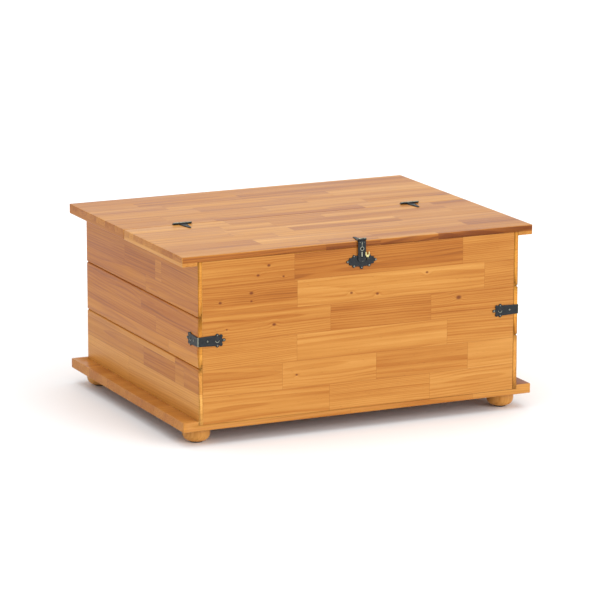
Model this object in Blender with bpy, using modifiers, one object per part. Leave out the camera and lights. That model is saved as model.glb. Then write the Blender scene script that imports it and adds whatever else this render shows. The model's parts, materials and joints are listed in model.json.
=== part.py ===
"""Pine toy box: a chest with a half-lid flap, iron T-hinges, a hasp, corner brackets and bun feet.

Frame: +X runs to the right as the front is faced, the front faces -Y and +Z is up. The origin is
on the floor, midway along the length, and midway between the foremost ironwork and the back edge.
All sizes are in metres. Flat ironwork is drawn in its own plane and then turned into place.
"""

import math

import bpy
import bmesh
from mathutils import Matrix, Vector

# Driving dimensions of the chest.
LENGTH = 0.900
DEPTH = 0.700
CHEST_HEIGHT = 0.410        # underside of the base board to the top of the lid
FOOT_HEIGHT = 0.037
BOARD = 0.0235              # thickness of the lid and base boards
WALL = 0.020                # thickness of the front, back and side panels
OVERHANG = 0.038            # lid and base board beyond the sides
BACK_SET = 0.015            # back panel behind the edges of the lid and base board
BASE_HOUSING = 0.010        # depth to which the walls stand in the base board
LID_HOUSING = 0.009         # depth to which the walls reach into the lid
EDGE_EASE = 0.0012          # softened edges of the boards
GAP = 0.0003                # clearance between pieces that touch
SEAM_GAP = 0.0010           # between the fixed and the moving half of the lid
FLAP_PLAY = 0.0010          # flap housing around the side planks
FLAP_FRONT_PLAY = 0.0015    # flap housing behind the front panel

# Ironwork.
IRON = 0.0016               # thickness of the brackets, hinges and hasp leaf
STRAP_IRON = 0.0018         # thickness of the hasp strap and its plate
BORE_RADIUS = 0.0014
PIN_RADIUS = 0.0011
KNUCKLE_GAP = 0.0004        # between neighbouring knuckles
LEAF_CLEAR = 0.0007         # leaf edge to the knuckles of the other leaf
HINGE_KNUCKLE_RADIUS = 0.0027
HINGE_AXIS_UP = 0.0033      # hinge axis above the top of the lid
HINGE_X = 0.3005            # hinges left and right of the middle
HINGE_LENGTH = 0.0475
CROSS_DEPTH = 0.015         # cross leaf, front to back
CROSS_FLANK = 0.003         # straight part of its ends
CROSS_TAPER = 0.008         # how far each end slopes in towards the back
HINGE_STRAP_LENGTH = 0.049
HINGE_STRAP_ROOT_HALF = 0.0100
HINGE_STRAP_TIP_HALF = 0.0032

# Hasp.
HASP_LENGTH = 0.021
HASP_KNUCKLE_RADIUS = 0.0033
HASP_AXIS_UP = 0.0044       # hasp axis above the top of the lid
HASP_AXIS_OUT = 0.0037      # hasp axis in front of the front face
HASP_LEAF_LENGTH = 0.0430
HASP_LEAF_ROOT_HALF = 0.0105
HASP_LEAF_TIP_HALF = 0.0025
HASP_REACH = 0.0080         # foremost point of the hasp in front of the front face

# Levels and planes that follow from the driving dimensions.
FRONT = (HASP_REACH - DEPTH) / 2
BACK = FRONT + DEPTH
SEAM = FRONT + DEPTH / 2
BASE_LOW = FOOT_HEIGHT
BASE_TOP = BASE_LOW + BOARD
LID_TOP = BASE_LOW + CHEST_HEIGHT
LID_LOW = LID_TOP - BOARD
BODY_X = LENGTH / 2 - OVERHANG
BODY_BACK = BACK - BACK_SET
WALL_LOW = BASE_TOP - BASE_HOUSING + GAP
WALL_TOP = LID_LOW + LID_HOUSING - GAP
INSIDE_X = BODY_X - WALL
INSIDE_FRONT = FRONT + WALL
INSIDE_BACK = BODY_BACK - WALL

# Side planks, with tongue-and-groove joints behind V-grooves.
CORNER_STRIP = 0.0098       # end of a side plank that shows beside the front panel
PLANK_JOINTS = (LID_TOP - 0.2635, LID_TOP - 0.1445)
V_HEIGHT = 0.0030
V_DEPTH = 0.0030
TONGUE_INNER = 0.0060
TONGUE_OUTER = 0.0120
TONGUE_HEIGHT = 0.0080

# Feet.
FOOT_RADIUS = 0.0325
FOOT_FLAT_RADIUS = 0.0175
FOOT_SWELL = 0.62           # widest level, as a share of the height
FOOT_TOP = 0.80             # radius of the flat top, as a share of the full radius
FOOT_SHOULDER = (0.93, 0.92)    # shares of radius and height where the rim rounds over
FOOT_INSET_X = 0.054
FOOT_INSET_Y = 0.0525
GLIDE_RADIUS = 0.0150
GLIDE_HEIGHT = 0.0030
STUD_RADIUS = 0.0040
STUD_LOW = 0.0120
STUD_TOP = BASE_LOW + 0.0110    # below the side planks, which stand in the board above

# Inside timbers.
POST = 0.028
POST_DROP = 0.012           # front posts below the flap
RAIL_WIDTH = 0.060
RAIL_HEIGHT = 0.022
CLEAT = 0.020
BATTEN_X = 0.250
BATTEN_WIDTH = 0.040
BATTEN_HEIGHT = 0.018
BATTEN_FRONT_PLAY = 0.018
BATTEN_REAR_PLAY = 0.010

# Corner brackets: distances from the corner along a leg, and from its middle line.
BRACKET_Z = LID_TOP - 0.2005
FRONT_LEG = 0.0692
SIDE_LEG = 0.065
ROSETTE_FROM_TIP = 0.0205
ROSETTE_RADIUS = 0.0130
LOBE_RADIUS = 0.0042
STRAP_ROOT_HALF = 0.0110
STRAP_END_HALF = 0.0128
STRAP_INTO_ROSETTE = 0.004  # strap beyond the rosette's centre
LOBE_SPOTS = ((0.0, 0.0121), (0.0092, 0.0098))  # from the rosette's centre, above and below
BRACKET_NAIL = 0.024        # strap nail from the corner

# Hasp plate, strap and turn button, measured from the top of the lid and the middle.
PLATE_DROP = 0.047
PLATE_HALF_HEIGHT = 0.0138
PLATE_CORNERS = ((0.0370, 0.0), (0.0240, 0.0103), (0.0140, 0.0127))    # right, upper quarter
PLATE_TIP = (0.0362, 0.0, 0.0030)       # lobes: across, up, radius
PLATE_LOBES = ((0.0195, 0.0118, 0.0036), (0.0290, 0.0066, 0.0030))
PLATE_LOW_LOBE = (0.0, -0.0156, 0.0042)
TONGUE_HALF_WIDTH = 0.0036  # tongue of the plate, behind the slot and the eye of the strap
TONGUE_TOP_DROP = 0.0152
BAR_HALF_WIDTH = 0.0016     # bar on the tongue, which stands in the slot of the strap
BAR_TOP_DROP = 0.0255
BAR_LOW_DROP = 0.0370
BAR_OUT = 0.0044
STRAP_HALF_WIDTH = 0.0100
STRAP_DROP = 0.049
SLOT_HALF_WIDTH = 0.0030
SLOT_TOP_DROP = 0.0230
SLOT_LOW_DROP = 0.0395
EYE_DROP = 0.0180
EYE_RADIUS = 0.0028
BUTTON_X = 0.0132
BUTTON_DROP = 0.0435
BUTTON_HALF_WIDTH = 0.0031
BUTTON_HOLE = 0.0017
BUTTON_NEAR = 0.0049
BUTTON_FAR = 0.0065
FORK_LOW = 0.0075           # forked finger hold of the button, from its pivot
FORK_WIDE = 0.0095
FORK_TIP = 0.0162
FORK_HALF_WIDTH = 0.0053
FORK_TIP_RADIUS = 0.0014
FORK_NOTCH_RADIUS = 0.0025
FORK_NOTCH = 0.0125
RIVET_SHOULDER = 0.0025
RIVET_NECK = 0.0013
RIVET_HEAD = 0.0026
RIVET_LENGTH = 0.0100

# Nails.
NAIL_HEAD_RADIUS = 0.0024
NAIL_HEAD_HEIGHT = 0.0010
NAIL_SHANK_RADIUS = 0.0009
NAIL_LENGTH = 0.0130
SHORT_NAIL_LENGTH = 0.0100

COLOURS = {
    "pine": ((0.62, 0.33, 0.12, 1.0), 0.42, 0.0),
    "pine_lid": ((0.66, 0.40, 0.22, 1.0), 0.40, 0.0),
    "iron": ((0.030, 0.033, 0.038, 1.0), 0.48, 0.9),
    "steel": ((0.45, 0.45, 0.44, 1.0), 0.35, 1.0),
    "nail": ((0.20, 0.19, 0.15, 1.0), 0.40, 0.9),
    "brass": ((0.66, 0.55, 0.26, 1.0), 0.32, 1.0),
    "felt": ((0.045, 0.040, 0.036, 1.0), 0.95, 0.0),
}


def clear_scene():
    for old in list(bpy.data.objects):
        bpy.data.objects.remove(old)


def new_collection(name):
    collection = bpy.data.collections.new(name)
    bpy.context.scene.collection.children.link(collection)
    return collection


def finish(piece, kind):
    """Give a piece its own Principled material of one of the kinds in COLOURS."""
    colour, roughness, metallic = COLOURS[kind]
    material = bpy.data.materials.new(piece.name + "_" + kind)
    material.use_nodes = True
    shader = material.node_tree.nodes["Principled BSDF"]
    shader.inputs["Base Color"].default_value = colour
    shader.inputs["Roughness"].default_value = roughness
    shader.inputs["Metallic"].default_value = metallic
    piece.data.materials.clear()
    piece.data.materials.append(material)
    return piece


def facing(origin, across, upward):
    """Matrix that puts local X along across, local Y along upward and local Z out of their plane."""
    x_axis = Vector(across).normalized()
    y_axis = Vector(upward).normalized()
    z_axis = x_axis.cross(y_axis)
    turn = Matrix((x_axis, y_axis, z_axis)).transposed().to_4x4()
    return Matrix.Translation(origin) @ turn


def on_front(x, drop, out):
    """Place on the front face: x from the middle, drop below the lid's top, out in front."""
    return facing((x, FRONT - out, LID_TOP - drop), (1, 0, 0), (0, 0, 1))


def on_lid(x, y, up):
    """Place on top of the lid, with local Y towards the back."""
    return facing((x, y, LID_TOP + up), (1, 0, 0), (0, 1, 0))


def add_object(name, mesh, place, collection):
    piece = bpy.data.objects.new(name, mesh)
    piece.matrix_world = place
    collection.objects.link(piece)
    return piece


def as_cutter(tool):
    tool.hide_render = True
    tool.display_type = "WIRE"
    return tool


def box(name, low, high, collection):
    """A box between two corners, with its origin at its centre."""
    low = Vector(low)
    high = Vector(high)
    size = high - low
    shape = bmesh.new()
    bmesh.ops.create_cube(shape, size=1.0, matrix=Matrix.Diagonal((*size, 1.0)))
    mesh = bpy.data.meshes.new(name)
    shape.to_mesh(mesh)
    shape.free()
    return add_object(name, mesh, Matrix.Translation((low + high) / 2), collection)


def ease_edges(piece, width):
    bevel = piece.modifiers.new("eased_edges", "BEVEL")
    bevel.width = width
    bevel.segments = 1
    bevel.limit_method = "ANGLE"
    return piece


def board(name, low, high, kind):
    return finish(ease_edges(box(name, low, high, parts), EDGE_EASE), kind)


def flat_solid(name, outlines, thickness, place, collection):
    """A sheet with the given closed outlines in its local XY plane, centred on that plane."""
    curve = bpy.data.curves.new(name, "CURVE")
    curve.dimensions = "2D"
    curve.fill_mode = "BOTH"
    curve.extrude = thickness / 2
    for outline in outlines:
        spline = curve.splines.new("POLY")
        spline.points.add(len(outline) - 1)
        for point, (u, v) in zip(spline.points, outline):
            point.co = (u, v, 0.0, 1.0)
        spline.use_cyclic_u = True
    guide = add_object(name + "_outline", curve, Matrix.Identity(4), cutters)
    shape = bmesh.new()
    flat = bpy.data.meshes.new_from_object(guide.evaluated_get(bpy.context.evaluated_depsgraph_get()))
    shape.from_mesh(flat)
    bmesh.ops.remove_doubles(shape, verts=shape.verts, dist=0.00002)
    bmesh.ops.recalc_face_normals(shape, faces=shape.faces)
    shape.to_mesh(flat)
    shape.free()
    bpy.data.objects.remove(guide)
    return add_object(name, flat, place, collection)


def turned(name, profile, place, steps, collection, closed=False):
    """A piece turned about local Z from (radius, height) points that run down its outer side."""
    mesh = bpy.data.meshes.new(name)
    points = [(radius, 0.0, height) for radius, height in profile]
    edges = [(i, i + 1) for i in range(len(points) - 1)]
    if closed:
        edges.append((len(points) - 1, 0))
    mesh.from_pydata(points, edges, [])
    piece = add_object(name, mesh, place, collection)
    screw = piece.modifiers.new("turning", "SCREW")
    screw.axis = "Z"
    screw.steps = steps
    screw.render_steps = steps
    screw.use_merge_vertices = True
    screw.merge_threshold = 0.00002
    screw.use_smooth_shade = True
    return piece


def cylinder(name, radius, low, high, place, steps, collection):
    """A round rod along local Z from low to high."""
    shape = bmesh.new()
    bmesh.ops.create_cone(
        shape, cap_ends=True, segments=steps, radius1=radius, radius2=radius,
        depth=high - low, matrix=Matrix.Translation((0.0, 0.0, (low + high) / 2)))
    mesh = bpy.data.meshes.new(name)
    shape.to_mesh(mesh)
    shape.free()
    mesh.shade_smooth()
    mesh.set_sharp_from_angle(angle=math.radians(40))
    return add_object(name, mesh, place, collection)


def combine(piece, tool, operation):
    modifier = piece.modifiers.new(tool.name, "BOOLEAN")
    modifier.operation = operation
    modifier.solver = "EXACT"
    modifier.object = as_cutter(tool)
    return piece


def cut_box(piece, name, low, high):
    return combine(piece, box(name, low, high, cutters), "DIFFERENCE")


def drill(pieces, name, place, radius, low, high, steps=12):
    """One hole along local Z of the place, from low to high, through every piece given."""
    tool = cylinder(name, radius, low, high, place, steps, cutters)
    for piece in pieces:
        combine(piece, tool, "DIFFERENCE")


def arc(u, v, radius, start, end, count):
    """Points on a round stretch of an outline, from a start to an end angle in degrees."""
    angles = [math.radians(start + (end - start) * i / count) for i in range(count + 1)]
    return [(u + radius * math.cos(a), v + radius * math.sin(a)) for a in angles]


def reach_of_disc(angle, disc):
    """How far a ray from the origin runs before it leaves a disc for good; 0 if it misses."""
    u, v, radius = disc
    along = u * math.cos(angle) + v * math.sin(angle)
    across = u * math.sin(angle) - v * math.cos(angle)
    if abs(across) > radius:
        return 0.0
    return along + math.sqrt(radius ** 2 - across ** 2)


def reach_of_polygon(angle, corners):
    """How far a ray from the origin runs inside a convex, counter-clockwise polygon around it."""
    reach = math.inf
    for (u0, v0), (u1, v1) in zip(corners, corners[1:] + corners[:1]):
        normal_u = v1 - v0
        normal_v = u0 - u1
        rate = normal_u * math.cos(angle) + normal_v * math.sin(angle)
        if rate > 0:
            reach = min(reach, (normal_u * u0 + normal_v * v0) / rate)
    return reach


def leafy_outline(polygons, discs, count):
    """Outline of convex polygons joined to round lobes, as seen from the origin inside them."""
    angles = [2 * math.pi * i / count for i in range(count)]
    angles += [math.atan2(v, u) % (2 * math.pi) for corners in polygons for u, v in corners]
    outline = []
    for angle in sorted(set(angles)):
        reach = max([reach_of_polygon(angle, corners) for corners in polygons]
                    + [reach_of_disc(angle, disc) for disc in discs])
        outline.append((reach * math.cos(angle), reach * math.sin(angle)))
    return outline


def nail(name, place, length, pieces):
    """A domed nail along local Z of the place, where Z = 0 is the face it is driven into."""
    dome = arc(0.0, 0.0, 1.0, 90, 0, 4)
    profile = [(NAIL_HEAD_RADIUS * u, GAP + NAIL_HEAD_HEIGHT * v) for u, v in dome]
    profile += [(NAIL_SHANK_RADIUS, GAP), (NAIL_SHANK_RADIUS, -length), (0.0, -length)]
    piece = turned(name, profile, place, 12, parts)
    drill(pieces, name + "_hole", place, NAIL_SHANK_RADIUS + GAP, -length - GAP, NAIL_LENGTH, 10)
    return finish(piece, "nail")


def knuckle(name, centre, radius, length):
    """A hinge knuckle along world X, with its bore."""
    profile = [
        (radius, length / 2), (radius, -length / 2),
        (BORE_RADIUS, -length / 2), (BORE_RADIUS, length / 2)]
    return turned(name, profile, facing(centre, (0, 1, 0), (0, 0, 1)), 16, cutters, closed=True)


def make_base_board():
    base = board("base_board", (-LENGTH / 2, FRONT, BASE_LOW), (LENGTH / 2, BACK, BASE_TOP), "pine")
    floor = WALL_LOW - GAP
    over = BASE_TOP + BOARD
    outer = BODY_X + GAP
    for side, name in ((-1, "left"), (1, "right")):
        edges = sorted((side * outer, side * (INSIDE_X - GAP)))
        cut_box(base, "base_housing_" + name,
                (edges[0], FRONT - BOARD, floor), (edges[1], BODY_BACK + GAP, over))
    cut_box(base, "base_housing_front",
            (-outer, FRONT - BOARD, floor), (outer, INSIDE_FRONT + GAP, over))
    cut_box(base, "base_housing_back",
            (-outer, INSIDE_BACK - GAP, floor), (outer, BODY_BACK + GAP, over))
    return base


def make_lid_rear():
    """Fixed half of the lid, housed over the back panel and the side planks."""
    lid = board("lid_rear", (-LENGTH / 2, SEAM + SEAM_GAP / 2, LID_LOW),
                (LENGTH / 2, BACK, LID_TOP), "pine_lid")
    under = LID_LOW - BOARD
    ceiling = WALL_TOP + GAP
    for side, name in ((-1, "left"), (1, "right")):
        edges = sorted((side * (BODY_X + GAP), side * (INSIDE_X - GAP)))
        cut_box(lid, "rear_housing_" + name,
                (edges[0], SEAM - BOARD, under), (edges[1], BODY_BACK + GAP, ceiling))
    cut_box(lid, "rear_housing_back", (-BODY_X, INSIDE_BACK - GAP, under),
            (BODY_X, BODY_BACK + GAP, ceiling))
    return lid


def make_lid_flap():
    """Moving half of the lid. Its housings leave play for the swing about the hinge axis."""
    lid = board("lid_flap", (-LENGTH / 2, FRONT, LID_LOW),
                (LENGTH / 2, SEAM - SEAM_GAP / 2, LID_TOP), "pine_lid")
    under = LID_LOW - BOARD
    ceiling = WALL_TOP + GAP
    outer = BODY_X + FLAP_PLAY
    for side, name in ((-1, "left"), (1, "right")):
        edges = sorted((side * outer, side * (INSIDE_X - FLAP_PLAY)))
        cut_box(lid, "flap_housing_" + name,
                (edges[0], FRONT - BOARD, under), (edges[1], SEAM + BOARD, ceiling))
    cut_box(lid, "flap_housing_front", (-outer, FRONT - BOARD, under),
            (outer, INSIDE_FRONT + FLAP_FRONT_PLAY, ceiling))
    return lid


def make_panels():
    """Front and back panels, let into the rebates of the side planks."""
    half = BODY_X - CORNER_STRIP - GAP
    front = board("front_panel", (-half, FRONT, WALL_LOW), (half, INSIDE_FRONT, WALL_TOP), "pine")
    back = board("back_panel", (-half, INSIDE_BACK, WALL_LOW), (half, BODY_BACK, WALL_TOP), "pine")
    return front, back


def plank_outline(low, high, joint_below, joint_above):
    """Section of a side plank: (distance from the inner face, height), counter-clockwise."""
    outline = [(0.0, low)]
    if joint_below:
        outline += [
            (TONGUE_INNER - GAP, low), (TONGUE_INNER - GAP, low + TONGUE_HEIGHT + GAP),
            (TONGUE_OUTER + GAP, low + TONGUE_HEIGHT + GAP), (TONGUE_OUTER + GAP, low),
            (WALL - V_DEPTH, low), (WALL, low + V_HEIGHT)]
    else:
        outline.append((WALL, low))
    if joint_above:
        outline += [
            (WALL, high - V_HEIGHT), (WALL - V_DEPTH, high), (TONGUE_OUTER, high),
            (TONGUE_OUTER, high + TONGUE_HEIGHT - GAP), (TONGUE_INNER, high + TONGUE_HEIGHT - GAP),
            (TONGUE_INNER, high)]
    else:
        outline.append((WALL, high))
    outline.append((0.0, high))
    return outline


def make_side_planks():
    """Three planks on each side, rebated at both ends for the front and back panels."""
    planks = {}
    levels = [WALL_LOW, *PLANK_JOINTS, WALL_TOP]
    for side, side_name in ((-1, "left"), (1, "right")):
        for i, level_name in enumerate(("lower", "middle", "upper")):
            name = "side_" + side_name + "_" + level_name
            low = levels[i] + (GAP / 2 if i > 0 else 0.0)
            high = levels[i + 1] - (GAP / 2 if i < 2 else 0.0)
            section = [(side * u, v) for u, v in plank_outline(low, high, i > 0, i < 2)]
            place = facing((side * INSIDE_X, (FRONT + BODY_BACK) / 2, 0.0), (1, 0, 0), (0, 0, 1))
            plank = flat_solid(name, [section], BODY_BACK - FRONT, place, parts)
            inner = side * (INSIDE_X - WALL)
            rebate = side * (BODY_X - CORNER_STRIP)
            edges = sorted((inner, rebate))
            cut_box(plank, name + "_front_rebate", (edges[0], FRONT - WALL, low - WALL),
                    (edges[1], INSIDE_FRONT + GAP, high + WALL))
            cut_box(plank, name + "_back_rebate", (edges[0], INSIDE_BACK - GAP, low - WALL),
                    (edges[1], BODY_BACK + WALL, high + WALL))
            planks[name] = finish(plank, "pine")
    return planks


def make_inside_timbers():
    """Corner posts, the rail under the seam, the rear cleat and the two flap battens."""
    for side, side_name in ((-1, "left"), (1, "right")):
        edges = sorted((side * (INSIDE_X - GAP), side * (INSIDE_X - GAP - POST)))
        front_y = (INSIDE_FRONT + GAP, INSIDE_FRONT + GAP + POST)
        back_y = (INSIDE_BACK - GAP - POST, INSIDE_BACK - GAP)
        for (near, far), end, top in (
                (front_y, "front", LID_LOW - POST_DROP), (back_y, "back", LID_LOW - GAP)):
            board("corner_post_" + end + "_" + side_name,
                  (edges[0], near, BASE_TOP + GAP), (edges[1], far, top), "pine")
    rail_x = INSIDE_X - GAP
    board("seam_rail", (-rail_x, SEAM - RAIL_WIDTH / 2, LID_LOW - GAP - RAIL_HEIGHT),
          (rail_x, SEAM + RAIL_WIDTH / 2, LID_LOW - GAP), "pine")
    cleat_x = INSIDE_X - POST - 2 * GAP
    board("back_cleat", (-cleat_x, INSIDE_BACK - GAP - CLEAT, LID_LOW - GAP - CLEAT),
          (cleat_x, INSIDE_BACK - GAP, LID_LOW - GAP), "pine")
    battens = []
    for side, side_name in ((-1, "left"), (1, "right")):
        middle = side * BATTEN_X
        battens.append(board(
            "flap_batten_" + side_name,
            (middle - BATTEN_WIDTH / 2, INSIDE_FRONT + BATTEN_FRONT_PLAY,
             LID_LOW - GAP - BATTEN_HEIGHT),
            (middle + BATTEN_WIDTH / 2, SEAM - RAIL_WIDTH / 2 - BATTEN_REAR_PLAY, LID_LOW - GAP),
            "pine"))
    return battens


def foot_profile(low, high):
    """Bun foot from its flat top down its round flank to the small flat underside."""
    swell = FOOT_SWELL * high
    shoulder_radius, shoulder_height = FOOT_SHOULDER
    flank = [(0.0, high), (FOOT_TOP * FOOT_RADIUS, high),
             (shoulder_radius * FOOT_RADIUS, shoulder_height * high)]
    steps = 9
    for i in range(steps + 1):
        fall = i / steps
        radius = FOOT_FLAT_RADIUS + (FOOT_RADIUS - FOOT_FLAT_RADIUS) * math.sqrt(1 - fall ** 2)
        flank.append((radius, swell + (low - swell) * fall))
    flank.append((0.0, low))
    return flank


def make_feet(base):
    """Turned feet on dowel screws, each with a felt glide underneath."""
    low = GLIDE_HEIGHT + GAP
    high = BASE_LOW - GAP
    for y, end in ((FRONT + FOOT_INSET_Y, "front"), (BACK - FOOT_INSET_Y, "back")):
        for side, side_name in ((-1, "left"), (1, "right")):
            label = end + "_" + side_name
            place = Matrix.Translation((side * (LENGTH / 2 - FOOT_INSET_X), y, 0.0))
            foot = turned("foot_" + label, foot_profile(low, high), place, 32, parts)
            drill([foot, base], "foot_bore_" + label, place,
                  STUD_RADIUS + GAP, STUD_LOW - GAP, STUD_TOP + GAP)
            finish(foot, "pine")
            stud = cylinder("foot_stud_" + label, STUD_RADIUS, STUD_LOW, STUD_TOP, place, 12, parts)
            finish(stud, "steel")
            glide = cylinder("glide_" + label, GLIDE_RADIUS, 0.0, GLIDE_HEIGHT, place, 24, parts)
            finish(glide, "felt")


def make_hinge(side, side_name, lids):
    """T-hinge on top of the lid: cross leaf on the fixed half, pointed strap on the flap."""
    lid_rear, lid_flap = lids
    middle = side * HINGE_X
    third = HINGE_LENGTH / 3
    edge = HINGE_KNUCKLE_RADIUS + LEAF_CLEAR
    sheet = GAP + IRON / 2
    axis = Vector((middle, SEAM, LID_TOP + HINGE_AXIS_UP))

    back_half = HINGE_LENGTH / 2 - CROSS_TAPER
    cross = [
        (-HINGE_LENGTH / 2, edge), (HINGE_LENGTH / 2, edge), (HINGE_LENGTH / 2, edge + CROSS_FLANK),
        (back_half, edge + CROSS_DEPTH), (-back_half, edge + CROSS_DEPTH),
        (-HINGE_LENGTH / 2, edge + CROSS_FLANK)]
    leaf = flat_solid("hinge_leaf_" + side_name, [cross], IRON, on_lid(middle, SEAM, sheet), parts)
    for way, end in ((-1, "outer"), (1, "inner")):
        centre_x = middle + way * third
        half = third / 2 - KNUCKLE_GAP / 2
        tab = box("leaf_tab_" + side_name + "_" + end,
                  (centre_x - half, SEAM + PIN_RADIUS, LID_TOP + GAP),
                  (centre_x + half, SEAM + edge + IRON, LID_TOP + GAP + IRON), cutters)
        combine(leaf, tab, "UNION")
        tube = knuckle("leaf_knuckle_" + side_name + "_" + end,
                       (centre_x, axis.y, axis.z), HINGE_KNUCKLE_RADIUS, 2 * half)
        combine(leaf, tube, "UNION")
    finish(leaf, "iron")

    pointed = [(-HINGE_STRAP_ROOT_HALF, -edge)]
    pointed += arc(0.0, HINGE_STRAP_TIP_HALF - HINGE_STRAP_LENGTH, HINGE_STRAP_TIP_HALF, 190, 350, 6)
    pointed += [(HINGE_STRAP_ROOT_HALF, -edge)]
    strap = flat_solid("hinge_strap_" + side_name, [pointed], IRON,
                       on_lid(middle, SEAM, sheet), parts)
    half = third / 2 - KNUCKLE_GAP / 2
    tab = box("strap_tab_" + side_name, (middle - half, SEAM - edge - IRON, LID_TOP + GAP),
              (middle + half, SEAM - PIN_RADIUS, LID_TOP + GAP + IRON), cutters)
    combine(strap, tab, "UNION")
    tube = knuckle("strap_knuckle_" + side_name, axis, HINGE_KNUCKLE_RADIUS, 2 * half)
    combine(strap, tube, "UNION")
    finish(strap, "iron")

    pin = cylinder("hinge_pin_" + side_name, PIN_RADIUS, -HINGE_LENGTH / 2, HINGE_LENGTH / 2,
                   facing(axis, (0, 1, 0), (0, 0, 1)), 12, parts)
    finish(pin, "steel")
    screw = nail("hinge_screw_" + side_name,
                 on_lid(middle, SEAM - HINGE_STRAP_LENGTH / 2, GAP + IRON),
                 NAIL_LENGTH, [strap, lid_flap])
    return strap, screw


def make_hasp(lid_flap):
    """Pointed leaf on the flap and the slotted strap that hangs from it over the front."""
    third = HASP_LENGTH / 3
    half = third / 2 - KNUCKLE_GAP / 2
    edge = HASP_KNUCKLE_RADIUS + LEAF_CLEAR
    sheet = GAP + IRON / 2
    axis = Vector((0.0, FRONT - HASP_AXIS_OUT, LID_TOP + HASP_AXIS_UP))

    pointed = [(-HASP_LEAF_ROOT_HALF, 0.0), (HASP_LEAF_ROOT_HALF, 0.0)]
    pointed += arc(0.0, HASP_LEAF_LENGTH - HASP_LEAF_TIP_HALF, HASP_LEAF_TIP_HALF, 10, 170, 6)
    leaf = flat_solid("hasp_leaf", [pointed], IRON, on_lid(0.0, FRONT, sheet), parts)
    for way, end in ((-1, "left"), (1, "right")):
        centre_x = way * third
        tab = box("hasp_tab_" + end, (centre_x - half, axis.y + PIN_RADIUS, LID_TOP + GAP),
                  (centre_x + half, FRONT + IRON, LID_TOP + GAP + IRON), cutters)
        combine(leaf, tab, "UNION")
        tube = knuckle("hasp_leaf_knuckle_" + end, (centre_x, axis.y, axis.z),
                       HASP_KNUCKLE_RADIUS, 2 * half)
        combine(leaf, tube, "UNION")
    finish(leaf, "iron")

    round_end = STRAP_HALF_WIDTH * 0.6
    low = -STRAP_DROP
    outer = [(STRAP_HALF_WIDTH, HASP_AXIS_UP - edge), (-STRAP_HALF_WIDTH, HASP_AXIS_UP - edge)]
    outer += arc(-STRAP_HALF_WIDTH + round_end, low + round_end, round_end, 180, 270, 4)
    outer += arc(STRAP_HALF_WIDTH - round_end, low + round_end, round_end, 270, 360, 4)
    slot = arc(0.0, -SLOT_TOP_DROP - SLOT_HALF_WIDTH, SLOT_HALF_WIDTH, 0, 180, 6)
    slot += arc(0.0, -SLOT_LOW_DROP + SLOT_HALF_WIDTH, SLOT_HALF_WIDTH, 180, 360, 6)
    eye = arc(0.0, -EYE_DROP, EYE_RADIUS, 0, 330, 11)
    strap = flat_solid("hasp_strap", [outer, slot, eye], STRAP_IRON,
                       on_front(0.0, 0.0, HASP_AXIS_OUT), parts)
    neck = box("hasp_neck", (-half, axis.y - STRAP_IRON / 2, LID_TOP + HASP_AXIS_UP - edge - IRON),
               (half, axis.y + STRAP_IRON / 2, axis.z - BORE_RADIUS - IRON / 2), cutters)
    combine(strap, neck, "UNION")
    combine(strap, knuckle("hasp_strap_knuckle", axis, HASP_KNUCKLE_RADIUS, 2 * half), "UNION")
    finish(strap, "iron")

    pin = cylinder("hasp_pin", PIN_RADIUS, -HASP_LENGTH / 2, HASP_LENGTH / 2,
                   facing(axis, (0, 1, 0), (0, 0, 1)), 12, parts)
    finish(pin, "steel")
    screw = nail("hasp_leaf_nail", on_lid(0.0, FRONT + HASP_LEAF_LENGTH / 2, GAP + IRON),
                 NAIL_LENGTH, [leaf, lid_flap])
    return (leaf, pin, screw), strap


def make_hasp_plate(front_panel):
    """Lobed plate with a tongue that stands behind the strap, nailed to the front panel."""
    upper = [*PLATE_CORNERS, (0.0, PLATE_HALF_HEIGHT), *[(-u, v) for u, v in PLATE_CORNERS[::-1]]]
    lower = [(-u, -v) for u, v in upper[1:-1]]
    lobes = [PLATE_LOW_LOBE]
    for way in (-1, 1):
        lobes.append((way * PLATE_TIP[0], PLATE_TIP[1], PLATE_TIP[2]))
        for u, v, radius in PLATE_LOBES:
            lobes += [(way * u, v, radius), (way * u, -v, radius)]
    tongue_top = PLATE_DROP - TONGUE_TOP_DROP
    tongue = [
        (TONGUE_HALF_WIDTH, tongue_top), (-TONGUE_HALF_WIDTH, tongue_top),
        (-TONGUE_HALF_WIDTH, -TONGUE_HALF_WIDTH), (TONGUE_HALF_WIDTH, -TONGUE_HALF_WIDTH)]
    outline = leafy_outline([upper + lower, tongue], lobes, 96)
    plate = flat_solid("hasp_plate", [outline], STRAP_IRON,
                       on_front(0.0, PLATE_DROP, GAP + STRAP_IRON / 2), parts)
    bar = box("plate_bar", (-BAR_HALF_WIDTH, FRONT - BAR_OUT, LID_TOP - BAR_LOW_DROP),
              (BAR_HALF_WIDTH, FRONT - GAP - STRAP_IRON / 2, LID_TOP - BAR_TOP_DROP), cutters)
    combine(plate, bar, "UNION")
    finish(plate, "iron")
    low_u, low_v, _ = PLATE_LOBES[0]
    for x, rise, spot in ((-PLATE_TIP[0], 0.0, "left_tip"), (PLATE_TIP[0], 0.0, "right_tip"),
                          (-low_u, -low_v, "left_low"), (low_u, -low_v, "right_low")):
        nail("plate_nail_" + spot, on_front(x, PLATE_DROP - rise, GAP + STRAP_IRON),
             SHORT_NAIL_LENGTH, [plate, front_panel])
    return plate


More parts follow.
